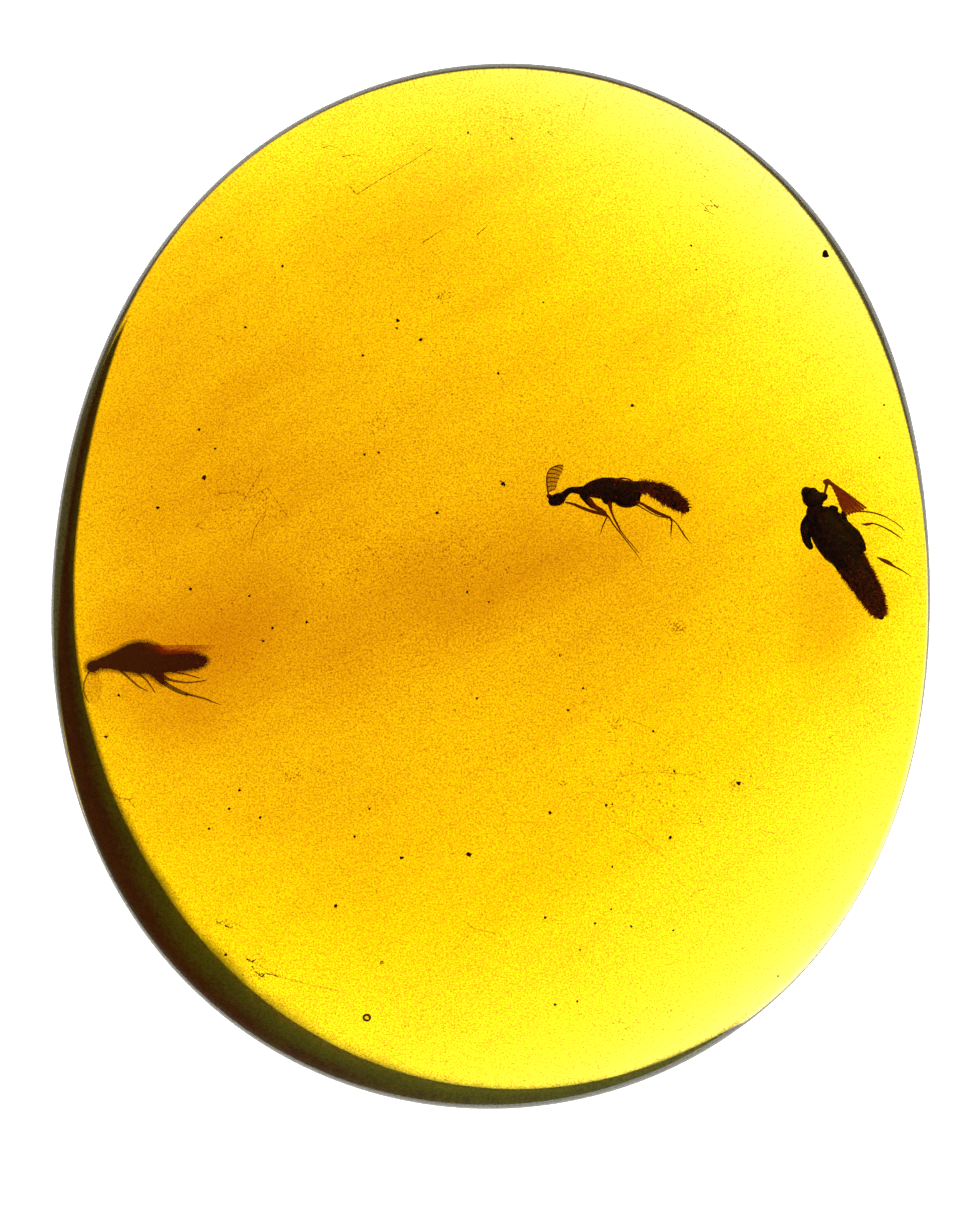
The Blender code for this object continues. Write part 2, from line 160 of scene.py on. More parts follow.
class Graph:
    """The nodes of one material."""

    def __init__(self, name: str) -> None:
        """Make a material with nothing in it but its output.

        Args:
            name: the material's name.
        """
        self.material = bpy.data.materials.new(name)
        self.material.use_nodes = True
        self.tree = self.material.node_tree
        self.tree.nodes.clear()
        self.result = self.tree.nodes.new("ShaderNodeOutputMaterial")

    def node(self, kind: str, settings: dict, values: dict, output: Union[int, str] = 0) -> Socket:
        """Add one node.

        Args:
            kind: the node's type.
            settings: its own settings, set first.
            values: numbers, tuples or links for its inputs, by name or number.
            output: the output wanted.

        Returns:
            That output.
        """
        made = self.tree.nodes.new(kind)
        for key, value in settings.items():
            setattr(made, key, value)
        for key, value in values.items():
            if isinstance(value, Socket):
                self.tree.links.new(value.link, made.inputs[key])
            else:
                made.inputs[key].default_value = value
        return Socket(self, made.outputs[output])

    def place(self) -> Socket:
        """The point's place on the object, in metres."""
        return self.node("ShaderNodeTexCoord", {}, {}, "Object")

    def grain(self, place: Socket, size_mm: float, detail: float = 2.0, warp: float = 0.0) -> Socket:
        """A cloudy value from 0 to 1.

        Args:
            place: the place to read it at.
            size_mm: the size of its clouds.
            detail: how many finer layers it has.
            warp: how far it is bent by itself.

        Returns:
            The value.
        """
        values = {"Vector": place, "Scale": 1.0 / (size_mm * MM), "Detail": detail, "Distortion": warp}
        return self.node("ShaderNodeTexNoise", {}, values, "Fac")

    def between(self, value: Socket, low: float, high: float) -> Socket:
        """A soft step.

        Args:
            value: the value that is stepped.
            low: where the step is 0.
            high: where the step is 1.

        Returns:
            0 at low, 1 at high, with soft ends.
        """
        values = {"Value": value, "From Min": low, "From Max": high}
        return self.node("ShaderNodeMapRange", {"interpolation_type": "SMOOTHSTEP"}, values, "Result")

    def mix(self, factor: Operand, first: object, second: object) -> Socket:
        """Mix two colours.

        Args:
            factor: the share of the second.
            first: a colour or a link to one.
            second: a colour or a link to one.

        Returns:
            The mixed colour.
        """
        first_value = first if isinstance(first, Socket) else (*first, 1.0)
        second_value = second if isinstance(second, Socket) else (*second, 1.0)
        values = {0: factor, 6: first_value, 7: second_value}
        return self.node("ShaderNodeMix", {"data_type": "RGBA"}, values, 2)

    def vector(self, operation: str, first: object, second: object) -> Socket:
        """A Vector Math node.

        Args:
            operation: what it does.
            first: the first vector or link.
            second: the second vector or link.

        Returns:
            The resulting vector.
        """
        return self.node("ShaderNodeVectorMath", {"operation": operation}, {0: first, 1: second}, 0)

    def length(self, vector: Socket) -> Socket:
        """The length of a vector."""
        return self.node("ShaderNodeVectorMath", {"operation": "LENGTH"}, {0: vector}, "Value")

    def bump(self, height: Socket, strength: float, distance_mm: float) -> Socket:
        """A normal bent by a height.

        Args:
            height: the height, 0 to 1.
            strength: the share of the effect.
            distance_mm: the height's full size.

        Returns:
            The bent normal.
        """
        values = {"Height": height, "Strength": strength, "Distance": distance_mm * MM}
        return self.node("ShaderNodeBump", {}, values, "Normal")

    def finish(self, values: dict, volume: Union[Socket, None] = None) -> bpy.types.Material:
        """Close the material with its shader.

        Args:
            values: the Principled shader's values and links.
            volume: the volume's shader, if the material has one.

        Returns:
            The material.
        """
        shader = self.node("ShaderNodeBsdfPrincipled", {}, values, "BSDF")
        self.tree.links.new(shader.link, self.result.inputs["Surface"])
        if volume is not None:
            self.tree.links.new(volume.link, self.result.inputs["Volume"])
        return self.material


@dataclass(frozen=True)
class Picture:
    """The photograph's frame: how its pixels lie over the stone, in millimetres."""

    width: float = 980.0
    height: float = 1205.0
    mm_per_pixel: float = 24.0 / 1049.0
    stone_middle: Pixel = (491.0, 588.0)
    stone_lift: float = -0.04

    def place(self, pixel: Pixel) -> Pair:
        """Where a pixel lies over the stone.

        Args:
            pixel: across and down from the photograph's upper left corner.

        Returns:
            x and y in millimetres.
        """
        x = (pixel[0] - self.stone_middle[0]) * self.mm_per_pixel
        y = (self.stone_middle[1] - pixel[1]) * self.mm_per_pixel
        return x, y + self.stone_lift

    def centre(self) -> Pair:
        """The middle of the frame, in millimetres."""
        return self.place((0.5 * self.width, 0.5 * self.height))


@dataclass(frozen=True)
class Swell:
    """A rise of a value towards one direction round the stone."""

    size: float
    direction: float
    narrowness: float

    def at(self, angle: float) -> float:
        """The rise at an angle, in radians."""
        near = (1.0 + math.cos(angle - math.radians(self.direction))) / 2.0
        return self.size * near**self.narrowness


@dataclass(frozen=True)
class Wave:
    """A wave that goes round the stone's outline."""

    lobes: int
    size: float
    direction: float

    def at(self, angle: float) -> float:
        """The wave's height at an angle, in radians."""
        return self.size * math.cos(self.lobes * angle - math.radians(self.direction))


@dataclass(frozen=True)
class Patch:
    """A warm or pale area of the amber: a soft oval placed by a pixel of the photograph."""

    pixel: Pixel
    half_sizes: Pair
    turn: float
    strength: float


@dataclass(frozen=True)
class Bubble:
    """A ball of air in the amber: its pixel in the photograph, its height and its radius in millimetres."""

    pixel: Pixel
    level: float
    radius: float


@dataclass(frozen=True)
class AmberFinish:
    """Clear amber: how it bends light, how deep its colour is and how that colour wanders."""

    refraction: float = 1.54
    roughness: float = 0.0
    absorption: Colour = (0.94, 0.885, 0.0)
    density: float = 1900.0
    deep_tint: Colour = (0.60, 0.40, 0.25)
    depth_least: float = 0.10
    wander_size: float = 2.4
    wander_reach: float = 3.0
    cloud_size: float = 2.2
    cloud_share: float = 0.34
    streak_size: float = 0.9
    streak_turn: float = 32.0
    streak_stretch: Point = (5.0, 1.0, 2.0)
    streak_step: Pair = (0.35, 0.75)
    streak_middle: float = 0.4
    streak_share: float = 0.22
    grain_size: float = 0.038
    grain_step: Pair = (0.42, 0.66)
    grain_share: float = 0.72
    grain_tint: Colour = (0.30, 0.11, 0.05)
    polish_size: float = 0.8
    polish_strength: float = 0.25
    polish_depth: float = 0.004
    patch_reach: float = 1.5
    patches: tuple[Patch, ...] = (
        Patch((490.0, 330.0), (12.0, 7.6), 0.0, 0.27),
        Patch((150.0, 480.0), (5.0, 8.0), 20.0, 0.50),
        Patch((215.0, 655.0), (2.6, 1.7), 20.0, 0.58),
        Patch((470.0, 590.0), (3.6, 1.4), 15.0, 0.44),
        Patch((430.0, 240.0), (2.6, 1.8), 25.0, 0.28),
        Patch((230.0, 280.0), (3.4, 2.2), 45.0, 0.13),
        Patch((830.0, 590.0), (1.4, 2.2), 0.0, 0.50),
        Patch((430.0, 140.0), (6.0, 1.6), 10.0, 0.15),
        Patch((620.0, 560.0), (4.0, 2.4), 0.0, 0.28),
        Patch((300.0, 850.0), (4.0, 2.4), -30.0, 0.10),
    )

    def material(self, picture: Picture) -> bpy.types.Material:
        """The amber's material.

        Args:
            picture: the frame that the patches are placed in.

        Returns:
            The material.
        """
        graph = Graph("amber")
        place = graph.place()
        bent = self.wandering(graph, place)
        depth = (graph.grain(place, self.cloud_size, 4.0, 0.8) - 0.5) * self.cloud_share + self.depth_least
        depth = depth + (self.streaks(graph, place) - self.streak_middle) * self.streak_share
        for patch in self.patches:
            depth = depth + self.patch_mask(graph, bent, patch, picture) * patch.strength
        warm = graph.mix(depth.clamped(), WHITE, self.deep_tint)
        fine = graph.between(graph.grain(place, self.grain_size, 1.0), *self.grain_step)
        speckled = graph.mix(fine * self.grain_share, warm, self.grain_tint)
        rub = graph.grain(place, self.polish_size, 1.0)
        values = {
            "Base Color": speckled,
            "Roughness": self.roughness,
            "IOR": self.refraction,
            "Transmission Weight": 1.0,
            "Normal": graph.bump(rub, self.polish_strength, self.polish_depth),
        }
        volume_values = {"Color": (*self.absorption, 1.0), "Density": self.density}
        volume = graph.node("ShaderNodeVolumeAbsorption", {}, volume_values, "Volume")
        return graph.finish(values, volume)

    def wandering(self, graph: Graph, place: Socket) -> Socket:
        """The place laid flat and bent to and fro, so that the patches have uneven borders.

        Args:
            graph: the graph that it is added to.
            place: the point's place.

        Returns:
            The bent place.
        """
        values = {"Vector": place, "Scale": 1.0 / (self.wander_size * MM), "Detail": 1.0}
        wander = graph.node("ShaderNodeTexNoise", {}, values, "Color")
        centred = graph.vector("SUBTRACT", wander, (0.5, 0.5, 0.5))
        reach = self.wander_reach * MM
        shift = graph.vector("MULTIPLY", centred, (reach, reach, 0.0))
        flat = graph.vector("MULTIPLY", place, (1.0, 1.0, 0.0))
        return graph.vector("ADD", flat, shift)

    def streaks(self, graph: Graph, place: Socket) -> Socket:
        """Long soft streaks, as left by resin that ran in one direction.

        Args:
            graph: the graph that they are added to.
            place: the place to read them at.

        Returns:
            A value from 0 to 1.
        """
        turn = (0.0, 0.0, math.radians(self.streak_turn))
        values = {"Vector": place, "Rotation": turn, "Scale": self.streak_stretch}
        drawn = graph.node("ShaderNodeMapping", {"vector_type": "TEXTURE"}, values)
        return graph.between(graph.grain(drawn, self.streak_size, 2.0, 0.4), *self.streak_step)

    def patch_mask(self, graph: Graph, place: Socket, patch: Patch, picture: Picture) -> Socket:
        """How near a point is to the middle of a patch.

        Args:
            graph: the graph that it is added to.
            place: the place, with its height taken out.
            patch: the patch.
            picture: the frame that the patch is placed in.

        Returns:
            1 in the patch's middle, 0 outside it.
        """
        x, y = picture.place(patch.pixel)
        values = {
            "Vector": place,
            "Location": (x * MM, y * MM, 0.0),
            "Rotation": (0.0, 0.0, math.radians(patch.turn)),
            "Scale": (patch.half_sizes[0] * MM, patch.half_sizes[1] * MM, 1.0),
        }
        drawn = graph.node("ShaderNodeMapping", {"vector_type": "TEXTURE"}, values)
        return 1.0 - graph.between(graph.length(drawn), 0.0, self.patch_reach)


@dataclass
class AmberStone:
    """The clear stone: an oval with an off-centre dome and a flat underside with a sloped edge."""

    mean_radius: float = 11.05
    outline_waves: tuple[Wave, ...] = (
        Wave(1, 0.07, -27.0),
        Wave(2, 0.97, 174.0),
        Wave(3, 0.09, -129.0),
        Wave(4, 0.05, -164.0),
    )
    outline_lift: float = -0.04
    height: float = 5.8
    apex: Pair = (-1.5, -1.3)
    girdle_least: float = 0.6
    girdle_swells: tuple[Swell, ...] = (Swell(3.5, 184.0, 2.3), Swell(1.8, 0.0, 12))
    dome_power: float = 0.98
    dome_power_swells: tuple[Swell, ...] = (Swell(0.20, 65.0, 5), Swell(0.12, 262.0, 1.5))
    edge_height: float = 0.18
    edge_share: float = 0.02
    bevel_least: float = 0.34
    bevel_swells: tuple[Swell, ...] = (Swell(1.62, 234.0, 6), Swell(0.48, 160.0, 16))
    bevel_roundness: float = 1.7
    bevel_share: float = 11.0 / 13.0
    segments: int = 288
    rings: int = 112
    bubble_segments: int = 24
    bubble_rings: int = 16
    bubbles: tuple[Bubble, ...] = (
        Bubble((367.0, 1017.0), 2.2, 0.105),
        Bubble((382.0, 962.0), 2.6, 0.045),
        Bubble((560.0, 655.0), 3.0, 0.035),
    )
    finish: AmberFinish = AmberFinish()

    def outline(self, angle: float) -> Pair:
        """A point of the outline.

        Args:
            angle: the direction from the stone's middle, in radians.

        Returns:
            x and y.
        """
        radius = self.mean_radius + sum(wave.at(angle) for wave in self.outline_waves)
        return radius * math.cos(angle), radius * math.sin(angle) + self.outline_lift

    def girdle(self, angle: float) -> float:
        """Height of the widest line of the stone at an angle."""
        return self.girdle_least + sum(swell.at(angle) for swell in self.girdle_swells)

    def dome(self, angle: float, reach: float) -> Point:
        """A point of the dome.

        Args:
            angle: the direction of the outline point that it lies towards.
            reach: 0 at the highest point, 1 at the girdle.

        Returns:
            The point.
        """
        rim_x, rim_y = self.outline(angle)
        girdle = self.girdle(angle)
        power = self.dome_power + sum(swell.at(angle) for swell in self.dome_power_swells)
        rise = max(0.0, 1.0 - reach * reach) ** power
        near = max(0.0, (reach - 1.0) / self.edge_share + 1.0)
        edge = self.edge_height * math.sqrt(max(0.0, 1.0 - near * near))
        x = self.apex[0] + reach * (rim_x - self.apex[0])
        y = self.apex[1] + reach * (rim_y - self.apex[1])
        return x, y, girdle + edge + (self.height - girdle - self.edge_height) * rise

    def underside(self, angle: float, share: float) -> Point:
        """A point below the girdle.

        Args:
            angle: the direction from the stone's middle.
            share: 0 at the girdle, then down the sloped edge and in over the flat face, 1 at its middle.

        Returns:
            The point.
        """
        rim_x, rim_y = self.outline(angle)
        if share > self.bevel_share:
            inward = (1.0 - share) / (1.0 - self.bevel_share)
            edge_x, edge_y, _ = self.underside(angle, self.bevel_share)
            return edge_x * inward, edge_y * inward, 0.0
        turn = 0.5 * math.pi * share / self.bevel_share
        across = math.cos(turn) ** (2.0 / self.bevel_roundness)
        down = math.sin(turn) ** (2.0 / self.bevel_roundness)
        width = self.bevel_least + sum(swell.at(angle) for swell in self.bevel_swells)
        inset = width * (1.0 - across) / math.hypot(rim_x, rim_y)
        return rim_x * (1.0 - inset), rim_y * (1.0 - inset), self.girdle(angle) * (1.0 - down)

    def top_height(self, x: float, y: float) -> float:
        """Height of the dome over a point.

        Args:
            x: the point's place across.
            y: the point's place along.

        Returns:
            The height.
        """
        tries = 6
        farthest = 0.999
        wanted = math.atan2(y - self.apex[1], x - self.apex[0])
        angle = wanted
        for _ in range(tries):
            rim_x, rim_y = self.outline(angle)
            got = math.atan2(rim_y - self.apex[1], rim_x - self.apex[0])
            angle += math.remainder(wanted - got, 2.0 * math.pi)
        rim_x, rim_y = self.outline(angle)
        full = math.hypot(rim_x - self.apex[0], rim_y - self.apex[1])
        reach = math.hypot(x - self.apex[0], y - self.apex[1]) / full
        return self.dome(angle, min(reach, farthest))[2]

    def seen_through(self, x: float, y: float, level: float) -> Vector:
        """The place of a thing that is seen at x and y, looking straight down through the dome.

        Args:
            x: where it seems to lie across.
            y: where it seems to lie along.
            level: the height that it lies at.

        Returns:
            Its true place.
        """
        step = 0.01
        top = self.top_height(x, y)
        slope_x = (self.top_height(x + step, y) - self.top_height(x - step, y)) / (2.0 * step)
        slope_y = (self.top_height(x, y + step) - self.top_height(x, y - step)) / (2.0 * step)
        normal = Vector((-slope_x, -slope_y, 1.0)).normalized()
        ray = Vector((0.0, 0.0, -1.0))
        ratio = 1.0 / self.finish.refraction
        facing = -normal.dot(ray)
        bent = ratio * ray + (ratio * facing - math.sqrt(1.0 - ratio**2 * (1.0 - facing**2))) * normal
        return Vector((x, y, top)) + bent * ((level - top) / bent.z)

    def shaped(self, unit: Vector) -> Vector:
        """Where a point of a unit ball goes on the stone.

        Args:
            unit: a point of the ball.

        Returns:
            The point on the stone.
        """
        angle = math.atan2(unit.y, unit.x)
        latitude = math.asin(max(-1.0, min(1.0, unit.z)))
        if latitude >= 0.0:
            return Vector(self.dome(angle, math.cos(latitude)))
        return Vector(self.underside(angle, -latitude / (0.5 * math.pi)))

    def build(self, picture: Picture) -> bpy.types.Object:
        """Make the clear stone and its bubbles, whose walls face the air in them.

        Args:
            picture: the frame that the amber's patches are placed in.

        Returns:
            The stone.
        """
        form = bmesh.new()
        bmesh.ops.create_uvsphere(form, u_segments=self.segments, v_segments=self.rings, radius=1.0)
        for corner in form.verts:
            corner.co = self.shaped(corner.co) * MM
        bmesh.ops.recalc_face_normals(form, faces=form.faces)
        for bubble in self.bubbles:
            x, y = picture.place(bubble.pixel)
            made = bmesh.ops.create_uvsphere(
                form,
                u_segments=self.bubble_segments,
                v_segments=self.bubble_rings,
                radius=bubble.radius * MM,
                matrix=Matrix.Translation(self.seen_through(x, y, bubble.level) * MM),
            )
            walls = {face for vertex in made["verts"] for face in vertex.link_faces}
            bmesh.ops.reverse_faces(form, faces=list(walls))
        mesh = closed(form, "amber_stone")
        mesh.shade_smooth()
        mesh.materials.append(self.finish.material(picture))
        return placed("amber_stone", mesh)


@dataclass(frozen=True)
class Tube:
    """A round tapering piece: (x, y, radius) at each bend and its height at the start and the end."""

    bends: tuple[Point, ...]
    rise: Pair = (0.0, 0.0)
    flatness: float = 1.0
    grooves: int = 0
    groove_depth: float = 0.0
    step: float = 0.05

    def stations(self) -> list[tuple[Vector, float]]:
        """The tube's middle line, smoothed between its bends.

        Returns:
            (place, radius) at each station.
        """
        last = len(self.bends) - 1
        low, high = self.rise
        knots = [
            Vector((x, y, low + (high - low) * index / last, radius))
            for index, (x, y, radius) in enumerate(self.bends)
        ]
        ends = [2.0 * knots[0] - knots[1], *knots, 2.0 * knots[-1] - knots[-2]]
        line = []
        for index in range(last):
            a, b, c, d = ends[index : index + 4]
            count = max(1, round((c.xyz - b.xyz).length / self.step))
            for part in range(count):
                t = part / count
                straight = 2.0 * b + (c - a) * t
                bend = (2.0 * a - 5.0 * b + 4.0 * c - d) * t**2
                twist = (3.0 * (b - c) + d - a) * t**3
                line.append(0.5 * (straight + bend + twist))
        line.append(knots[-1])
        return [(knot.xyz, self.grooved(knot.w, index / (len(line) - 1))) for index, knot in enumerate(line)]

    def grooved(self, radius: float, along: float) -> float:
        """The radius where a body's rings meet.

        Args:
            radius: the smooth radius.
            along: 0 at the start, 1 at the end.

        Returns:
            The radius with its grooves.
        """
        if not self.grooves:
            return max(radius, THINNEST)
        ring = (along * self.grooves) % 1.0
        cut = self.groove_depth * (1.0 - math.sin(math.pi * ring)) ** 3
        swell = 0.5 * self.groove_depth * ring
        return radius * (1.0 - cut + swell)


@dataclass(frozen=True)
class Ball:
    """A rounded lump: its middle, half sizes and turn in degrees."""

    middle: Point
    half_sizes: Point
    turn: float = 0.0


@dataclass(frozen=True)
class Membrane:
    """A thin skin between a run of root points and a run of tip points, both (x, y, z)."""

    roots: tuple[Point, ...]
    tips: tuple[Point, ...]
    ripple: float = 0.01

    @classmethod
    def level(cls, roots: Sequence[Pair], tips: Sequence[Pair], height: float) -> "Membrane":
        """A skin that lies at one height.

        Args:
            roots: x and y of its root points.
            tips: x and y of its tip points.
            height: the height of them all.

        Returns:
            The skin.
        """
        return cls(tuple((x, y, height) for x, y in roots), tuple((x, y, height) for x, y in tips))


@dataclass(frozen=True)
class Fringe:
    """Short hairs along a tube: how many, how long and how they lie."""

    tube: Tube
    count: int
    length: float
    start: float = 0.0
    end: float = 1.0
    lean: float = 0.8
    thickness: float = 0.020
    rooted: float = 0.9
    sideways: float = 0.25
    lean_spread: Pair = (0.4, 1.3)
    length_spread: Pair = (0.45, 1.25)
    thickness_spread: Pair = (0.7, 1.2)


class Skin(Enum):
    """The finishes that a beetle wears, in the order of its material slots."""

    BODY = 0
    LIMB = 1
    VEIL = 2
    HAZE = 3


@dataclass(frozen=True)
class CuticleFinish:
    """A beetle's skin: its two browns, its shine, how much light a thin part lets through, and a painted glow
    that stands in for the backlight shining through thin cuticle.
    """

    name: str
    dark: Colour
    light: Colour
    roughness: float
    alpha: float
    relief_mm: float
    # Painted glow: emission that stands in for backlight shining red through thin parts.
    glow: Colour = (0.0, 0.0, 0.0)
    refraction: float = 1.56
    mottle_size: float = 0.09
    mottle_step: Pair = (0.35, 0.7)
    mottle_roughness: float = 0.15
    pit_size: float = 0.03
    relief_strength: float = 0.6

    def material(self) -> bpy.types.Material:
        """The skin's material.

        Returns:
            Two mottled browns with fine pits, partly see-through where the finish asks for it, and the
            finish's painted glow.
        """
        graph = Graph(self.name)
        place = graph.place()
        mottle = graph.between(graph.grain(place, self.mottle_size, 3.0, 0.3), *self.mottle_step)
        pit_values = {"Vector": place, "Scale": 1.0 / (self.pit_size * MM)}
        pits = graph.node("ShaderNodeTexVoronoi", {"feature": "F1"}, pit_values, "Distance")
        values = {
            "Base Color": graph.mix(mottle, self.dark, self.light),
            "Roughness": mottle * self.mottle_roughness + self.roughness,
            "IOR": self.refraction,
            "Alpha": self.alpha,
            # Painted glow, standing in for backlight through thin cuticle.
            "Emission Color": (*self.glow, 1.0),
            "Emission Strength": 1.0,
            "Normal": graph.bump(pits + mottle, self.relief_strength, self.relief_mm),
        }
        return graph.finish(values)


class Form:
    """A mesh in millimetres that grows piece by piece."""

    def __init__(self, name: str) -> None:
        """Start with nothing.

        Args:
            name: the mesh's name.
        """
        self.name = name
        self.form = bmesh.new()
        self.skin = Skin.BODY

    def face(self, corners: Sequence[bmesh.types.BMVert]) -> None:
        """Add a face in the present skin.

        Args:
            corners: its corners in order.
        """
        made = self.form.faces.new(corners)
        made.material_index = self.skin.value
        made.smooth = True

    def tube(self, tube: Tube, sides: int = 8) -> None:
        """Add a tapering tube with rounded ends.

        Args:
            tube: the tube.
            sides: corners of its section.
        """
        stations = tube.stations()
        first, second = stations[0][0], stations[1][0]
        last, before = stations[-1][0], stations[-2][0]
        start, end = (first - second).normalized(), (last - before).normalized()
        caps = [(math.sin(angle), math.cos(angle)) for angle in CAP_ANGLES]
        head = [(first + start * stations[0][1] * out, stations[0][1] * wide) for out, wide in caps]
        tail = [(last + end * stations[-1][1] * out, stations[-1][1] * wide) for out, wide in reversed(caps)]
        line = [*head, *stations, *tail]
        rings = []
        for index, (place, radius) in enumerate(line):
            along = line[min(index + 1, len(line) - 1)][0] - line[max(index - 1, 0)][0]
            side = Vector((-along.y, along.x, 0.0)).normalized()
            up = along.cross(side).normalized() * tube.flatness
            turns = [2.0 * math.pi * corner / sides for corner in range(sides)]
            ring = [place + (side * math.cos(turn) + up * math.sin(turn)) * radius for turn in turns]
            rings.append([self.form.verts.new(corner) for corner in ring])
        for lower, upper in zip(rings, rings[1:]):
            for corner in range(sides):
                after = (corner + 1) % sides
                self.face((lower[corner], lower[after], upper[after], upper[corner]))
        self.face(list(reversed(rings[0])))
        self.face(rings[-1])

    def ball(self, ball: Ball, fineness: int = 24) -> None:
        """Add a rounded lump.

        Args:
            ball: the lump.
            fineness: corners of its section.
        """
        stretch = Matrix.Diagonal((*ball.half_sizes, 1.0))
        turn = Matrix.Rotation(math.radians(ball.turn), 4, "Z")
        matrix = Matrix.Translation(ball.middle) @ turn @ stretch
        made = bmesh.ops.create_uvsphere(
            self.form, u_segments=fineness, v_segments=fineness // 2, radius=1.0, matrix=matrix
        )
        for face in {face for vertex in made["verts"] for face in vertex.link_faces}:
            face.material_index = self.skin.value
            face.smooth = True

    def membrane(self, membrane: Membrane, steps: int = 8) -> None:
        """Add a thin rippled skin.

        Args:
            membrane: the skin.
            steps: how many faces it has from root to tip.
        """
        rows = []
        for index, (root, tip) in enumerate(zip(membrane.roots, membrane.tips)):
            lift = Vector((0.0, 0.0, membrane.ripple * (-1.0) ** index))
            points = [Vector(root).lerp(Vector(tip), step / steps) + lift for step in range(steps + 1)]
            rows.append([self.form.verts.new(point) for point in points])
        for near, far in zip(rows, rows[1:]):
            for step in range(steps):
                self.face((near[step], near[step + 1], far[step + 1], far[step]))

    def hair(self, root: Vector, tip: Vector, thickness: float) -> None:
        """Add one hair, a thin three-sided spike.

        Args:
            root: where it grows.
            tip: where it ends.
            thickness: its width at the root.
        """
        along = (tip - root).normalized()
        side = along.cross(HAIR_ASIDE).normalized() * 0.5 * thickness
        up = along.cross(side)
        base = [
            self.form.verts.new(root + side * math.cos(turn) + up * math.sin(turn))
            for turn in (0.0, 2.0 * math.pi / 3.0, 4.0 * math.pi / 3.0)
        ]
        point = self.form.verts.new(tip)
        for corner in range(3):
            self.face((base[corner], base[(corner + 1) % 3], point))

    def fringe(self, fringe: Fringe, rng: random.Random) -> None:
        """Add a tube's hairs.

        Args:
            fringe: the hairs.
            rng: the source of their scatter.
        """
        line = fringe.tube.stations()
        for _ in range(fringe.count):
            along = rng.uniform(fringe.start, fringe.end) * (len(line) - 1)
            index = min(int(along), len(line) - 2)
            near, far = line[index], line[index + 1]
            place = near[0].lerp(far[0], along - index)
            radius = near[1] + (far[1] - near[1]) * (along - index)
            forward = (far[0] - near[0]).normalized()
            side = Vector((-forward.y, forward.x, 0.0)).normalized()
            up = forward.cross(side)
            turn = rng.uniform(0.0, 2.0 * math.pi)
            out = side * math.cos(turn) + up * math.sin(turn) * fringe.tube.flatness
            root = place + out * radius * fringe.rooted
            lean = fringe.lean * rng.uniform(*fringe.lean_spread)
            aside = rng.uniform(-fringe.sideways, fringe.sideways)
            way = (out.normalized() + forward * lean + side * aside).normalized()
            length = fringe.length * rng.uniform(*fringe.length_spread)
            self.hair(root, root + way * length, fringe.thickness * rng.uniform(*fringe.thickness_spread))

    def mesh(self) -> bpy.types.Mesh:
        """Close the form as a mesh, still in millimetres."""
        bmesh.ops.recalc_face_normals(self.form, faces=self.form.faces)
        return closed(self.form, self.name)

    def melted(self, cell: float, smoothing: int) -> bpy.types.Mesh:
        """Close the form as one even skin over all its pieces, in millimetres.

        Args:
            cell: the size of the skin's faces.
            smoothing: how many times it is smoothed.

        Returns:
            The skin's mesh.
        """
        rough = placed(self.name, self.mesh())
        melt = rough.modifiers.new("melt", "REMESH")
        melt.mode = "VOXEL"
        melt.voxel_size = cell
        smooth = rough.modifiers.new("smooth", "SMOOTH")
        smooth.iterations = smoothing
        bpy.context.view_layer.update()
        skin = bpy.data.meshes.new_from_object(rough.evaluated_get(bpy.context.evaluated_depsgraph_get()))
        bpy.data.objects.remove(rough, do_unlink=True)
        return skin


@dataclass(frozen=True)
class Beetle:
    """A beetle sealed in the amber, drawn as it is seen, in mm from its own middle."""

    name: str
    middle: Pair
    level: float
    body: tuple[Union[Tube, Ball], ...]
    limbs: tuple[Tube, ...]
    membranes: tuple[Membrane, ...]
    rays: tuple[Tube, ...]
    fringes: tuple[Fringe, ...]
    seed: int
    finishes: tuple[CuticleFinish, ...]
    haze: tuple[float, ...] = ()
    cell: float = 0.014
    smoothing: int = 3
    roughening: float = 0.010
    lumps_per_mm: float = 7.0
    dents_per_mm: float = 22.0

    def roughen(self, point: Vector) -> Vector:
        """How a point of the skin is pushed about by small lumps and dents.

        Args:
            point: the point, in millimetres.

        Returns:
            The push.
        """
        broad = noise.noise_vector(point * self.lumps_per_mm + Vector((self.seed, 0.0, 0.0)))
        fine = noise.noise_vector(point * self.dents_per_mm)
        return (broad + 0.5 * fine) * self.roughening

    def skinned(self) -> Form:
        """The body under one uneven skin, with the thin see-through shells of its haze round it.

        Returns:
            The form, in millimetres.
        """
        body = Form(self.name + "_body")
        for piece in self.body:
            if isinstance(piece, Tube):
                body.tube(piece, BODY_SIDES)
            else:
                body.ball(piece)
        skin = body.melted(self.cell, self.smoothing)
        whole = Form(self.name)
        whole.form.from_mesh(skin)
        whole.form.normal_update()
        starts = [(vertex.co.copy(), vertex.normal.copy()) for vertex in whole.form.verts]
        corners = [[vertex.index for vertex in face.verts] for face in whole.form.faces]
        for vertex in whole.form.verts:
            vertex.co += self.roughen(vertex.co)
        for face in whole.form.faces:
            face.smooth = True
        whole.skin = Skin.HAZE
        for swell in self.haze:
            made = [whole.form.verts.new(start + normal * swell) for start, normal in starts]
            for face in corners:
                whole.face([made[index] for index in face])
        return whole

    def build(self, stone: AmberStone) -> bpy.types.Object:
        """Make the beetle where light passing the dome shows it in its place.

        Args:
            stone: the stone that it is sealed in.

        Returns:
            The beetle.
        """
        rng = random.Random(self.seed)
        whole = self.skinned()
        whole.skin = Skin.LIMB
        for tube in (*self.limbs, *self.rays):
            whole.tube(tube)
        for fringe in self.fringes:
            whole.fringe(fringe, rng)
        whole.skin = Skin.VEIL
        for membrane in self.membranes:
            whole.membrane(membrane)
        mesh = whole.mesh()
        for vertex in mesh.vertices:
            x, y, z = vertex.co
            vertex.co = stone.seen_through(self.middle[0] + x, self.middle[1] + y, self.level + z) * MM
        for finish in self.finishes:
            mesh.materials.append(finish.material())
        return placed(self.name + "_dressed", mesh)
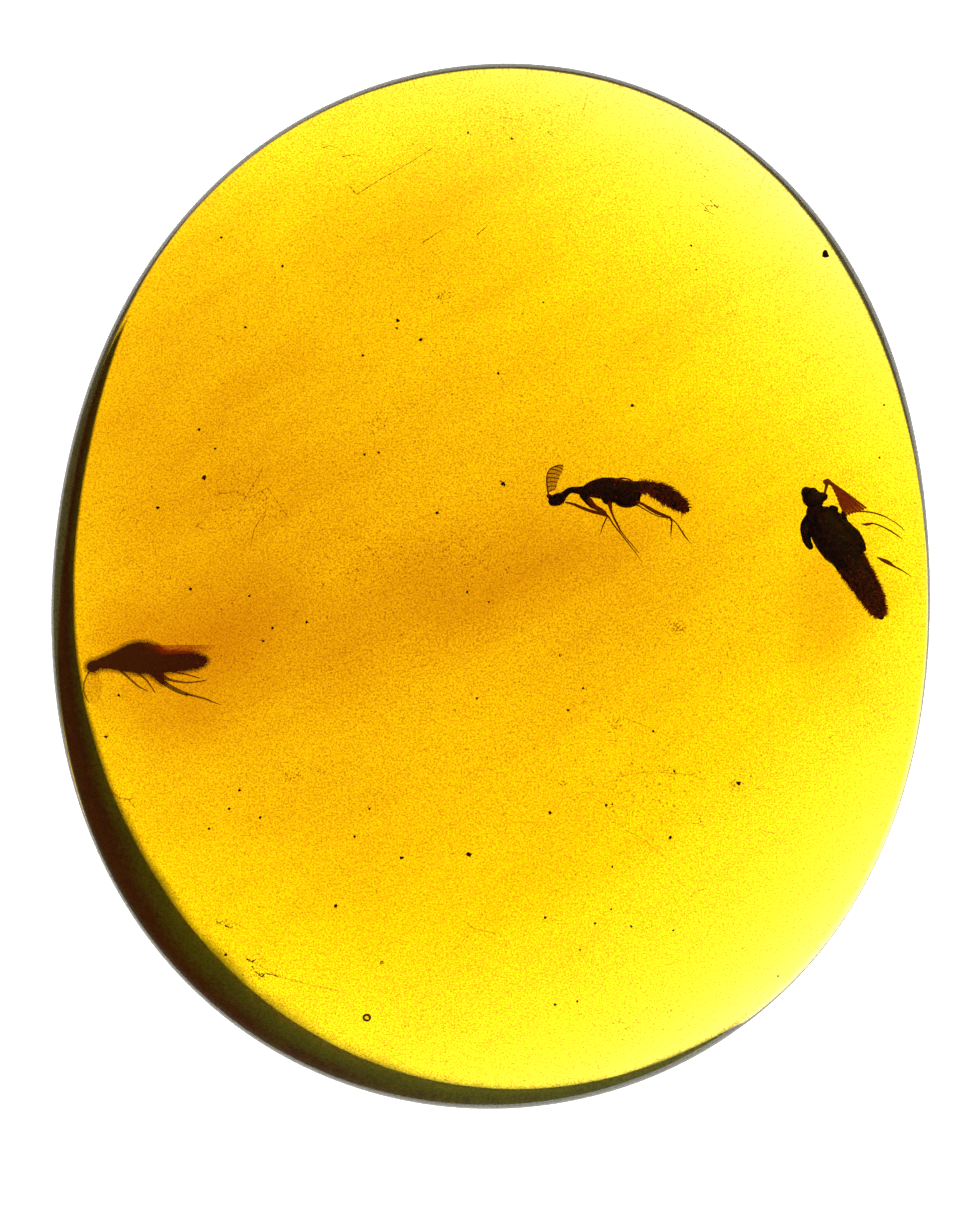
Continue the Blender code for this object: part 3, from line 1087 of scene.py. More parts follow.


# The limb, veil and haze finishes glow: painted light standing in for the backlight shining red through thin
# cuticle.
SKIN_FINISHES = (
    CuticleFinish(
        name="cuticle_body",
        dark=(0.012, 0.004, 0.003),
        light=(0.11, 0.02, 0.008),
        roughness=0.38,
        alpha=1.0,
        relief_mm=0.006,
    ),
    CuticleFinish(
        name="cuticle_limb",
        dark=(0.04, 0.009, 0.004),
        light=(0.2, 0.04, 0.01),
        roughness=0.4,
        alpha=0.9,
        relief_mm=0.002,
        glow=(0.11, 0.016, 0.001),
    ),
    CuticleFinish(
        name="cuticle_veil",
        dark=(0.2, 0.02, 0.004),
        light=(0.42, 0.06, 0.01),
        roughness=0.45,
        alpha=0.38,
        relief_mm=0.002,
        glow=(0.26, 0.026, 0.002),
    ),
    CuticleFinish(
        name="cuticle_haze",
        dark=(0.06, 0.02, 0.008),
        light=(0.16, 0.036, 0.01),
        roughness=0.6,
        alpha=0.3,
        relief_mm=0.002,
        glow=(0.1, 0.012, 0.002),
    ),
)
# All four soft finishes glow: painted light standing in for the backlight shining through the cuticle.
SOFT_FINISHES = (
    CuticleFinish(
        name="soft_body",
        dark=(0.04, 0.03, 0.016),
        light=(0.15, 0.09, 0.04),
        roughness=0.55,
        alpha=0.88,
        relief_mm=0.004,
        glow=(0.016, 0.016, 0.006),
    ),
    CuticleFinish(
        name="soft_limb",
        dark=(0.06, 0.018, 0.008),
        light=(0.26, 0.07, 0.02),
        roughness=0.55,
        alpha=0.62,
        relief_mm=0.002,
        glow=(0.06, 0.01, 0.002),
    ),
    CuticleFinish(
        name="soft_veil",
        dark=(0.16, 0.03, 0.006),
        light=(0.3, 0.06, 0.012),
        roughness=0.6,
        alpha=0.26,
        relief_mm=0.002,
        glow=(0.5, 0.07, 0.004),
    ),
    CuticleFinish(
        name="soft_haze",
        dark=(0.08, 0.03, 0.01),
        light=(0.2, 0.06, 0.014),
        roughness=0.6,
        alpha=0.17,
        relief_mm=0.002,
        glow=(0.11, 0.024, 0.002),
    ),
)

MIDDLE_THORAX = Tube(
    (
        (-0.78, 0.08, 0.12), (-0.61, 0.13, 0.19), (-0.37, 0.15, 0.255), (-0.14, 0.12, 0.285),
        (0.09, 0.09, 0.275), (0.3, 0.137, 0.204), (0.47, 0.18, 0.146),
    ),
    flatness=0.8,
)
MIDDLE_ABDOMEN = Tube(
    (
        (0.38, 0.17, 0.15), (0.68, 0.185, 0.125), (0.85, 0.12, 0.172), (1.06, 0.02, 0.2),
        (1.26, -0.1, 0.19), (1.43, -0.23, 0.148), (1.56, -0.33, 0.075),
    ),
    flatness=0.85,
    grooves=6,
    groove_depth=0.1,
)
MIDDLE_SHAFT = Tube(
    (
        (-1.59, -0.04, 0.022), (-1.62, 0.14, 0.018), (-1.64, 0.37, 0.016), (-1.59, 0.56, 0.015),
        (-1.45, 0.66, 0.013), (-1.26, 0.69, 0.009),
    ),
    (0.06, 0.1),
)
MIDDLE_RAY_TIPS = (
    (-1.45, 0.12), (-1.42, 0.2), (-1.39, 0.29), (-1.36, 0.37), (-1.33, 0.45), (-1.29, 0.52),
    (-1.26, 0.59), (-1.25, 0.65),
)
MIDDLE_RAY_ROOTS = (
    (-1.615, 0.06), (-1.63, 0.18), (-1.64, 0.29), (-1.64, 0.39), (-1.61, 0.49), (-1.56, 0.59),
    (-1.47, 0.65), (-1.36, 0.68),
)

MIDDLE_BEETLE = Beetle(
    name="beetle_middle",
    middle=(2.91, 2.08),
    level=1.8,
    body=(
        MIDDLE_THORAX,
        Tube(
            ((-1.26, -0.01, 0.09), (-1.13, 0.1, 0.072), (-0.95, 0.115, 0.085), (-0.72, 0.09, 0.13)),
            flatness=0.9,
        ),
        Tube(((-0.8, 0.0, 0.09), (-0.7, -0.14, 0.075), (-0.58, -0.27, 0.05)), flatness=0.9),
        MIDDLE_ABDOMEN,
        Ball((-1.4, -0.1, 0.0), (0.215, 0.145, 0.16), 20.0),
        Ball((-1.575, -0.03, 0.0), (0.07, 0.055, 0.07), -30.0),
        Ball((-1.3, -0.04, 0.1), (0.08, 0.08, 0.07)),
        Ball((0.18, -0.067, 0.0), (0.325, 0.225, 0.2), -6.0),
        Ball((0.33, 0.02, 0.0), (0.2, 0.17, 0.16), 0.0),
        Ball((-0.25, -0.1, 0.02), (0.13, 0.12, 0.12), 0.0),
        Ball((0.55, 0.17, 0.0), (0.16, 0.12, 0.11), -8.0),
    ),
    limbs=(
        Tube(
            (
                (-0.14, 0.29, 0.03), (-0.04, 0.34, 0.034), (0.08, 0.385, 0.022), (0.24, 0.36, 0.018),
                (0.38, 0.27, 0.016),
            ),
            (0.1, 0.14),
        ),
        Tube(
            ((-0.16, 0.27, 0.02), (0.0, 0.3, 0.016), (0.2, 0.325, 0.012), (0.34, 0.27, 0.012)),
            (0.12, 0.15),
        ),
        Tube(
            ((-0.66, -0.12, 0.065), (-0.55, -0.26, 0.058), (-0.42, -0.33, 0.052), (-0.3, -0.4, 0.034)),
            (0.05, 0.14),
        ),
        Tube(
            (
                (-1.2, -0.165, 0.02), (-1.03, -0.205, 0.03), (-0.83, -0.29, 0.036), (-0.62, -0.365, 0.04),
                (-0.42, -0.42, 0.038), (-0.26, -0.475, 0.024),
            ),
            (0.02, -0.1),
        ),
        Tube(
            ((-0.25, -0.47, 0.015), (-0.31, -0.6, 0.017), (-0.37, -0.74, 0.013), (-0.41, -0.89, 0.007)),
            (-0.1, -0.16),
        ),
        Tube(
            (
                (-0.3, -0.42, 0.024), (-0.22, -0.5, 0.022), (-0.12, -0.66, 0.018), (0.02, -0.84, 0.016),
                (0.22, -1.09, 0.013), (0.38, -1.3, 0.01), (0.54, -1.53, 0.005),
            ),
            (-0.05, -0.2),
        ),
        Tube(
            (
                (-0.2, -0.18, 0.06), (-0.17, -0.34, 0.03), (-0.11, -0.5, 0.024), (-0.02, -0.68, 0.024),
                (0.05, -0.82, 0.017),
            ),
            (0.08, 0.12),
        ),
        Tube(
            ((0.04, -0.8, 0.015), (0.16, -0.96, 0.012), (0.3, -1.12, 0.012), (0.46, -1.32, 0.008)),
            (0.12, 0.2),
        ),
        Tube(
            (
                (0.42, -0.14, 0.035), (0.56, -0.21, 0.03), (0.72, -0.31, 0.042), (0.88, -0.4, 0.044),
                (1.04, -0.46, 0.036), (1.18, -0.52, 0.026),
            ),
            (0.1, 0.16),
        ),
        Tube(
            (
                (1.17, -0.5, 0.026), (1.215, -0.6, 0.021), (1.21, -0.75, 0.02), (1.2, -0.87, 0.012),
                (1.2, -0.97, 0.005),
            ),
            (0.16, 0.18),
        ),
        Tube(
            ((0.4, -0.2, 0.02), (0.66, -0.36, 0.014), (0.9, -0.48, 0.012), (1.16, -0.52, 0.02)),
            (-0.1, -0.12),
        ),
        Tube(
            (
                (1.2, -0.53, 0.018), (1.31, -0.63, 0.014), (1.42, -0.78, 0.018), (1.52, -0.94, 0.018),
                (1.6, -1.04, 0.009), (1.68, -1.12, 0.004),
            ),
            (-0.12, -0.18),
        ),
        Tube(((1.46, -0.37, 0.01), (1.45, -0.46, 0.008), (1.43, -0.55, 0.004)), (0.0, 0.02)),
    ),
    membranes=tuple(Membrane.level(MIDDLE_RAY_ROOTS, MIDDLE_RAY_TIPS, height) for height in (0.08, 0.05)),
    rays=(
        MIDDLE_SHAFT,
        *(
            Tube(
                (
                    (root[0], root[1], 0.012),
                    (0.5 * (root[0] + tip[0]), 0.5 * (root[1] + tip[1]) + 0.02, 0.013),
                    (tip[0], tip[1], 0.008),
                ),
                (0.08, 0.08),
            )
            for root, tip in zip(MIDDLE_RAY_ROOTS, MIDDLE_RAY_TIPS)
        ),
    ),
    fringes=(
        Fringe(MIDDLE_ABDOMEN, 1300, 0.115, 0.05, 1.0, 0.9),
        Fringe(MIDDLE_THORAX, 620, 0.06, 0.0, 1.0, 0.8),
        Fringe(Tube(((-1.55, -0.1, 0.1), (-1.4, -0.1, 0.15), (-1.25, -0.05, 0.13))), 90, 0.035),
    ),
    seed=11,
    finishes=SKIN_FINISHES,
)

RIGHT_THORAX = Tube(
    (
        (-0.66, 1.05, 0.15), (-0.624, 0.915, 0.25), (-0.471, 0.693, 0.37), (-0.305, 0.416, 0.44),
        (-0.111, 0.139, 0.445), (0.056, -0.055, 0.4), (0.16, -0.22, 0.37),
    ),
    flatness=0.75,
)
RIGHT_ABDOMEN = Tube(
    (
        (0.06, -0.06, 0.385), (0.2, -0.29, 0.365), (0.33, -0.5, 0.34), (0.555, -0.86, 0.305),
        (0.72, -1.16, 0.245), (0.82, -1.38, 0.165), (0.86, -1.49, 0.085),
    ),
    flatness=0.75,
    grooves=6,
    groove_depth=0.06,
)
RIGHT_LAMELLA_ENDS = (
    (0.513, 0.993), (0.455, 0.955), (0.395, 0.93), (0.33, 0.905), (0.27, 0.89), (0.205, 0.87),
    (0.14, 0.845), (0.075, 0.82),
)
RIGHT_LAMELLA_ROOTS = (
    (-0.28, 1.58), (-0.29, 1.545), (-0.27, 1.5), (-0.24, 1.44), (-0.205, 1.37), (-0.17, 1.29),
    (-0.13, 1.19), (-0.09, 1.09),
)

RIGHT_BEETLE = Beetle(
    name="beetle_right",
    middle=(8.05, 0.8),
    level=1.6,
    body=(
        RIGHT_THORAX, RIGHT_ABDOMEN,
        Ball((-0.69, 1.2, 0.0), (0.255, 0.225, 0.2), -20.0),
        Ball((-0.84, 1.34, 0.0), (0.135, 0.145, 0.13)), Ball((-0.7, 1.36, 0.02), (0.12, 0.1, 0.11)),
        Ball((-0.475, 1.245, 0.03), (0.125, 0.11, 0.12)),
        Ball((-0.22, 0.97, 0.04), (0.115, 0.085, 0.1), -20.0),
        Ball((-0.12, 0.72, 0.05), (0.2, 0.17, 0.16), -35.0),
        Tube(
            (
                (-0.76, 0.8, 0.1), (-0.85, 0.62, 0.125), (-0.87, 0.44, 0.115), (-0.83, 0.25, 0.1),
                (-0.755, 0.11, 0.078),
            ),
            (-0.1, -0.1),
            0.7,
        ),
        Tube(
            (
                (-0.08, 0.66, 0.12), (0.05, 0.56, 0.14), (0.25, 0.36, 0.142), (0.402, 0.166, 0.108),
                (0.475, 0.04, 0.055),
            ),
            (0.12, 0.12),
            0.7,
        ),
        Tube(((-0.02, 0.9, 0.032), (0.02, 0.8, 0.05), (0.06, 0.7, 0.045)), (0.12, 0.12)),
    ),
    limbs=(
        Tube(((-0.44, 1.28, 0.03), (-0.4, 1.42, 0.032), (-0.375, 1.53, 0.045)), (0.06, 0.14)),
        Tube(((-0.41, 1.585, 0.06), (-0.35, 1.6, 0.062), (-0.29, 1.55, 0.045)), (0.14, 0.14)),
        Tube(
            (
                (0.13, 0.88, 0.016), (0.3, 0.914, 0.018), (0.499, 0.905, 0.019), (0.68, 0.88, 0.018),
                (0.84, 0.835, 0.019), (0.99, 0.778, 0.016),
            ),
            (-0.05, -0.15),
        ),
        Tube(
            (
                (0.98, 0.78, 0.013), (1.1, 0.71, 0.011), (1.22, 0.64, 0.012), (1.36, 0.513, 0.011),
                (1.4, 0.47, 0.006),
            ),
            (-0.15, -0.18),
        ),
        Tube(
            ((0.42, 0.625, 0.01), (0.5, 0.612, 0.03), (0.57, 0.618, 0.034), (0.66, 0.64, 0.02)),
            (0.05, 0.12),
        ),
        Tube(
            (
                (0.65, 0.645, 0.017), (0.83, 0.59, 0.018), (1.05, 0.48, 0.019), (1.2, 0.385, 0.017),
                (1.345, 0.285, 0.009),
            ),
            (0.12, 0.14),
        ),
        Tube(
            (
                (0.77, -0.14, 0.008), (0.83, -0.165, 0.028), (0.9, -0.2, 0.04), (0.998, -0.244, 0.05),
                (1.08, -0.29, 0.042), (1.16, -0.345, 0.024), (1.331, -0.43, 0.016), (1.44, -0.5, 0.013),
                (1.54, -0.56, 0.006),
            ),
            (0.0, 0.1),
        ),
    ),
    membranes=tuple(
        Membrane.level(RIGHT_LAMELLA_ROOTS, RIGHT_LAMELLA_ENDS, height) for height in (0.14, 0.11, 0.17)
    ),
    rays=tuple(
        Tube(
            (
                (root[0], root[1], 0.018),
                (0.5 * (root[0] + end[0]), 0.5 * (root[1] + end[1]), 0.029),
                (end[0], end[1], 0.023),
            ),
            (0.14, 0.12),
        )
        for root, end in zip(RIGHT_LAMELLA_ROOTS, RIGHT_LAMELLA_ENDS)
    ),
    fringes=(
        Fringe(RIGHT_ABDOMEN, 2200, 0.105, 0.1, 1.0, 0.8),
        Fringe(RIGHT_THORAX, 420, 0.05, 0.0, 1.0, 0.8),
    ),
    seed=23,
    finishes=SKIN_FINISHES,
)

LEFT_THORAX = Tube(
    (
        (-0.95, -0.07, 0.1), (-0.7, -0.02, 0.17), (-0.47, 0.01, 0.245), (-0.23, 0.05, 0.325),
        (0.0, 0.06, 0.36), (0.2, 0.04, 0.34), (0.43, -0.02, 0.27), (0.6, -0.03, 0.21),
    ),
    flatness=0.8,
)
LEFT_ABDOMEN = Tube(
    (
        (0.4, -0.03, 0.25), (0.61, -0.03, 0.225), (0.85, -0.02, 0.205), (1.08, -0.01, 0.185),
        (1.28, -0.01, 0.15), (1.43, 0.0, 0.085),
    ),
    flatness=0.85,
    grooves=5,
    groove_depth=0.05,
)

LEFT_BEETLE = Beetle(
    name="beetle_left",
    middle=(-7.99, -1.7),
    level=1.75,
    body=(
        LEFT_THORAX, LEFT_ABDOMEN,
        Ball((-1.07, -0.12, 0.0), (0.175, 0.125, 0.15), 15.0),
        Ball((0.1, 0.26, 0.05), (0.14, 0.12, 0.12), 10.0),
        Tube(((0.2, -0.2, 0.1), (0.33, -0.33, 0.07), (0.5, -0.47, 0.05)), (0.03, 0.06)),
    ),
    limbs=(
        Tube(
            ((0.4, -0.42, 0.055), (0.62, -0.57, 0.055), (0.84, -0.69, 0.052), (1.05, -0.77, 0.04)),
            (0.05, 0.1),
        ),
        Tube(
            (
                (1.03, -0.76, 0.03), (1.27, -0.82, 0.022), (1.49, -0.88, 0.02), (1.66, -0.95, 0.014),
                (1.82, -1.01, 0.008),
            ),
            (0.1, 0.12),
        ),
        Tube(
            (
                (0.3, -0.24, 0.05), (0.64, -0.43, 0.034), (0.86, -0.48, 0.026), (1.05, -0.5, 0.02),
                (1.36, -0.47, 0.016), (1.5, -0.44, 0.01),
            ),
            (-0.08, -0.14),
        ),
        Tube(
            ((0.55, -0.2, 0.03), (0.85, -0.28, 0.022), (1.1, -0.33, 0.018), (1.34, -0.4, 0.012)),
            (0.04, 0.06),
        ),
        Tube(
            (
                (-0.55, -0.1, 0.045), (-0.47, -0.22, 0.034), (-0.23, -0.44, 0.026), (-0.04, -0.6, 0.018),
                (0.16, -0.7, 0.01),
            ),
            (0.04, 0.1),
        ),
        Tube(
            ((-0.16, -0.2, 0.04), (0.0, -0.34, 0.026), (0.15, -0.48, 0.02), (0.31, -0.72, 0.012)),
            (-0.04, -0.1),
        ),
        Tube(
            (
                (-1.13, -0.18, 0.02), (-1.22, -0.3, 0.018), (-1.3, -0.5, 0.016), (-1.3, -0.74, 0.013),
                (-1.2, -0.96, 0.009),
            ),
            (0.04, 0.04),
        ),
    ),
    membranes=(
        *(
            Membrane(
                ((0.06, 0.36, level), (0.1, 0.28, level), (0.16, 0.2, level), (0.24, 0.12, level)),
                (
                    (reach, 0.36, level), (reach + 0.04, 0.32, level), (reach - 0.04, 0.26, level),
                    (reach - 0.14, 0.18, level),
                ),
                0.006,
            )
            for level, reach in ((0.1, 1.66), (0.13, 1.54), (0.16, 1.4), (0.19, 1.2))
        ),
        Membrane(
            (
                (-1.16, -0.22, 0.04), (-1.26, -0.38, 0.04), (-1.31, -0.56, 0.04), (-1.3, -0.76, 0.04),
                (-1.2, -0.96, 0.04),
            ),
            (
                (-0.98, -0.3, 0.04), (-0.92, -0.44, 0.04), (-0.88, -0.62, 0.04), (-0.9, -0.8, 0.04),
                (-1.02, -1.0, 0.04),
            ),
        ),
    ),
    rays=(),
    fringes=(
        Fringe(LEFT_ABDOMEN, 700, 0.11, 0.0, 1.0, 1.6), Fringe(LEFT_THORAX, 420, 0.07, 0.0, 1.0, 1.4),
    ),
    seed=37,
    finishes=SOFT_FINISHES,
    haze=(0.022, 0.045, 0.07, 0.098),
    cell=0.018,
)

BEETLES = (MIDDLE_BEETLE, RIGHT_BEETLE, LEFT_BEETLE)


@dataclass(frozen=True)
class EdgePaintedShadeFinish:
    """The matt skin of the rim and the sloped edge, partly the stone's unpolished edge and partly painted
    shade and glow: olive on the rim and far in, brown between, tones that colour the dark band which the edge
    shades by total reflection.
    """

    # rim, brown and inner are partly the matt edge's own colour and partly painted shade: dark olive for the
    # thin dark line at the rim, and brown to olive for the dark band that total reflection shades under the
    # dome.
    rim: Colour = (0.060, 0.056, 0.018)
    brown: Colour = (0.130, 0.090, 0.080)
    inner: Colour = (0.270, 0.310, 0.210)
    # Painted glow: emission that stands in for floor light scattered through the matt edge.
    rim_painted_glow: Colour = (0.050, 0.044, 0.006)
    brown_painted_glow: Colour = (0.034, 0.008, 0.012)
    inner_painted_glow: Colour = (0.052, 0.078, 0.030)
    roughness: float = 0.7
    dome_fade: Pair = (-1.0, -0.68)
    slope_fade: Pair = (0.52, 0.84)
    rim_step: Pair = (-0.05, 0.05)
    inner_step: Pair = (0.42, 0.66)
    wander_size: float = 1.1
    wander_reach: float = 0.18
    mottle_size: float = 0.12
    mottle_reach: float = 0.2

    def material(self) -> bpy.types.Material:
        """The skin's material.

        V of its map is -1 far in on the dome, 0 on the rim and 1 where the sloped edge lies level, each
        halved and raised by a half.

        Returns:
            A matt skin with painted shade in its colour and a painted glow, which fades out at both ends.
        """
        graph = Graph("ground_edge_painted_shade")
        place = graph.place()
        across = graph.node("ShaderNodeTexCoord", {}, {}, "UV")
        share = graph.node("ShaderNodeSeparateXYZ", {}, {0: across}, "Y") * 2.0 - 1.0
        wander = share + (graph.grain(place, self.wander_size, 3.0) - 0.5) * self.wander_reach
        mottle = graph.grain(place, self.mottle_size, 3.0) * self.mottle_reach
        inward = graph.between(wander + mottle, *self.inner_step)
        on_slope = graph.between(share, *self.rim_step)
        # Painted shade on the sloped edge, brown to olive, and its painted glow.
        slope_painted_shade = graph.mix(inward, self.brown, self.inner)
        slope_painted_glow = graph.mix(inward, self.brown_painted_glow, self.inner_painted_glow)
        values = {
            # Painted shade in the colour and a painted glow in the emission, for the dark band and the rim's
            # dark line.
            "Base Color": graph.mix(on_slope, self.rim, slope_painted_shade),
            "Emission Color": graph.mix(on_slope, self.rim_painted_glow, slope_painted_glow),
            "Emission Strength": 1.0,
            "Roughness": self.roughness,
            "Alpha": graph.between(wander, *self.dome_fade) * (1.0 - graph.between(wander, *self.slope_fade)),
        }
        return graph.finish(values)


@dataclass(frozen=True)
class GroundEdge:
    """The matt rim and the unpolished sloped edge under it, a skin just inside the stone whose painted shade
    and painted glow colour the dark band seen through the dome.
    """

    # The rim strip, widened towards some directions by its swells, carries the painted shade of the thin dark
    # line round the rim.
    rim_width: float = 0.07
    rim_painted_shade_swells: tuple[Swell, ...] = (
        Swell(0.12, 38.0, 24),
        Swell(0.06, 92.0, 12),
        Swell(0.16, 155.0, 24),
        Swell(0.20, 176.0, 40),
        Swell(0.10, 282.0, 60),
        Swell(-0.04, 325.0, 12),
    )
    depth: float = 0.016
    dome_rows: int = 6
    slope_rows: int = 32
    segments: int = 288
    finish: EdgePaintedShadeFinish = EdgePaintedShadeFinish()

    def point(self, stone: AmberStone, angle: float, share: float) -> Point:
        """A point of the skin.

        Args:
            stone: the stone.
            angle: the direction from the stone's middle.
            share: -1 on the dome, 0 on the rim and 1 at the end of the sloped edge.

        Returns:
            The point, just inside the stone.
        """
        if share < 0.0:
            width = self.rim_width + sum(swell.at(angle) for swell in self.rim_painted_shade_swells)
            x, y, z = stone.dome(angle, 1.0 + share * width / stone.mean_radius)
            drop = self.depth
        else:
            x, y, z = stone.underside(angle, share * stone.bevel_share)
            drop = self.depth * (1.0 - 2.0 * share)
        inward = 1.0 - self.depth / math.hypot(x, y)
        return x * inward, y * inward, z - drop

    @staticmethod
    def flatness(stone: AmberStone, angle: float, share: float) -> float:
        """How flat the sloped edge lies at a point.

        Args:
            stone: the stone.
            angle: the direction from the stone's middle.
            share: 0 on the rim and 1 at the end of the sloped edge.

        Returns:
            0 where it is upright and 1 where it is level.
        """
        step = 0.01
        near = Vector(stone.underside(angle, max(share - step, 0.0) * stone.bevel_share))
        far = Vector(stone.underside(angle, min(share + step, 1.0) * stone.bevel_share))
        way = far - near
        return math.atan2(way.xy.length, -way.z) / (0.5 * math.pi)

    def build(self, stone: AmberStone) -> bpy.types.Object:
        """Make the skin.

        Args:
            stone: the stone.

        Returns:
            The skin.
        """
        form = bmesh.new()
        map_layer = form.loops.layers.uv.new("edge")
        shares = [row / self.dome_rows - 1.0 for row in range(self.dome_rows)]
        shares += [row / self.slope_rows for row in range(self.slope_rows + 1)]
        turns = [2.0 * math.pi * segment / self.segments for segment in range(self.segments)]
        grid = []
        levels = []
        for share in shares:
            grid.append([form.verts.new(Vector(self.point(stone, turn, share)) * MM) for turn in turns])
            levels.append([share if share < 0.0 else self.flatness(stone, turn, share) for turn in turns])
        for row, (near, far) in enumerate(zip(grid, grid[1:])):
            for segment in range(self.segments):
                after = (segment + 1) % self.segments
                face = form.faces.new((near[segment], near[after], far[after], far[segment]))
                face.smooth = True
                around = ((row, segment), (row, after), (row + 1, after), (row + 1, segment))
                for loop, (level, turn) in zip(face.loops, around):
                    loop[map_layer].uv = (0.5, 0.5 * levels[level][turn] + 0.5)
        mesh = closed(form, "ground_edge_painted_shade")
        mesh.materials.append(self.finish.material())
        return placed("ground_edge_painted_shade", mesh)


@dataclass(frozen=True)
class Speck:
    """A dark grain in the amber: its pixel in the photograph and its radius in pixels."""

    pixel: Pixel
    radius: float


@dataclass(frozen=True)
class Strand:
    """A fine strand in the amber: its bends in the photograph's pixels and its width in pixels."""

    pixels: tuple[Pixel, ...]
    width: float


@dataclass(frozen=True)
class Debris:
    """A loose crowd of fine grains and short threads round a pixel of the photograph."""

    pixel: Pixel
    half_sizes: Pair
    count: int


@dataclass(frozen=True)
class Inclusions:
    """Everything else that the amber holds: dark grains, strands, wisps, debris and dust."""

    specks: tuple[Speck, ...]
    strands: tuple[Strand, ...]
    wisps: tuple[Strand, ...]
    debris: tuple[Debris, ...]
    dust: int = 2600
    dust_radius: float = 0.55
    dust_reach: float = 0.93
    dust_deepest: float = 0.1
    debris_radii: Pair = (0.45, 1.15)
    lower_share: float = 0.35
    upper_share: float = 0.80
    floor_gap: float = 0.35
    dome_gap: float = 0.15
    rim_gap_share: float = 0.9
    rim_gap_from: float = 9.0
    piece_length: float = 0.12
    piece_overlap: float = 0.15
    unevenness: Pair = (0.6, 1.3)
    seed: int = 5

    def level(self, stone: AmberStone, x: float, y: float, share: float) -> float:
        """A height inside the stone under a point.

        Args:
            stone: the stone.
            x: the point's place across.
            y: the point's place along.
            share: how far up it lies, from 0 to 1.

        Returns:
            The height, kept well clear of the stone's skin near the rim.
        """
        nearness = min(1.0, (math.hypot(x, y) / self.rim_gap_from) ** 4)
        low = max(self.floor_gap, self.rim_gap_share * stone.girdle(math.atan2(y, x)) * nearness)
        return low + share * (stone.top_height(x, y) - low - self.dome_gap)

    def inside(self, stone: AmberStone, picture: Picture, pixel: Pixel, share: float) -> Vector:
        """Where a thing seen at a pixel lies in the amber.

        Args:
            stone: the stone.
            picture: the photograph's frame.
            pixel: where it is seen.
            share: how far up it lies, from 0 to 1.

        Returns:
            Its place in millimetres.
        """
        x, y = picture.place(pixel)
        return stone.seen_through(x, y, self.level(stone, x, y, share))

    def grain(self, form: Form, place: Vector, radius: float, rng: random.Random) -> None:
        """Add one angular grain.

        Args:
            form: the mesh that it joins.
            place: its middle.
            radius: its size in millimetres.
            rng: the source of its shape.
        """
        made = bmesh.ops.create_icosphere(form.form, subdivisions=1, radius=radius)
        for vertex in made["verts"]:
            vertex.co = place + vertex.co * rng.uniform(*self.unevenness)
        for face in {face for vertex in made["verts"] for face in vertex.link_faces}:
            face.material_index = form.skin.value

    @staticmethod
    def mote(form: Form, place: Vector, radius: float, rng: random.Random) -> None:
        """Add one speck of dust, a lopsided four-sided crumb.

        Args:
            form: the mesh that it joins.
            place: its middle.
            radius: its size in millimetres.
            rng: the source of its shape.
        """
        ways = ((1, 1, 1), (1, -1, -1), (-1, 1, -1), (-1, -1, 1))
        corners = [form.form.verts.new(place + Vector(way) * radius * rng.uniform(0.4, 1.0)) for way in ways]
        for left_out in range(4):
            form.face([corner for index, corner in enumerate(corners) if index != left_out])

    def thread(self, form: Form, places: Sequence[Vector], width: float, rng: random.Random) -> None:
        """Add one strand as a run of overlapping spikes.

        Args:
            form: the mesh that it joins.
            places: its bends, in millimetres.
            width: its width in millimetres.
            rng: the source of its unevenness.
        """
        for near, far in zip(places, places[1:]):
            pieces = max(1, round((far - near).length / self.piece_length))
            for piece in range(pieces):
                start = near.lerp(far, piece / pieces)
                end = near.lerp(far, (piece + 1.0 + self.piece_overlap) / pieces)
                form.hair(start, end, width * rng.uniform(*self.unevenness))

    def build(self, stone: AmberStone, picture: Picture) -> bpy.types.Object:
        """Make the inclusions as one mesh.

        Args:
            stone: the stone that holds them.
            picture: the photograph's frame.

        Returns:
            The inclusions.
        """
        rng = random.Random(self.seed)
        form = Form("amber_inclusions")
        scale = picture.mm_per_pixel
        shares = (self.lower_share, self.upper_share)
        for speck in self.specks:
            place = self.inside(stone, picture, speck.pixel, rng.uniform(*shares))
            self.grain(form, place, speck.radius * scale, rng)
        for skin, strands in ((Skin.BODY, self.strands), (Skin.VEIL, self.wisps)):
            form.skin = skin
            for strand in strands:
                share = rng.uniform(*shares)
                places = [self.inside(stone, picture, pixel, share) for pixel in strand.pixels]
                self.thread(form, places, strand.width * scale, rng)
        for crowd in self.debris:
            for _ in range(crowd.count):
                pixel = tuple(rng.gauss(at, 0.5 * half) for at, half in zip(crowd.pixel, crowd.half_sizes))
                place = self.inside(stone, picture, pixel, rng.uniform(*shares))
                self.mote(form, place, rng.uniform(*self.debris_radii) * scale, rng)
        for _ in range(self.dust):
            x, y = stone.outline(rng.uniform(-math.pi, math.pi))
            reach = self.dust_reach * math.sqrt(rng.random())
            x, y = x * reach, y * reach
            share = rng.uniform(self.dust_deepest, self.upper_share)
            place = stone.seen_through(x, y, self.level(stone, x, y, share))
            radius = self.dust_radius * rng.uniform(0.5, 1.0) ** 2 * 2.0
            self.mote(form, place, radius * scale, rng)
        mesh = form.mesh()
        mesh.transform(Matrix.Scale(MM, 4))
        # The grains and strands wear the body finish; the wisps, debris and dust wear the veil finish, whose
        # glow is painted light.
        for finish in SKIN_FINISHES:
            mesh.materials.append(finish.material())
        return placed(form.name, mesh)


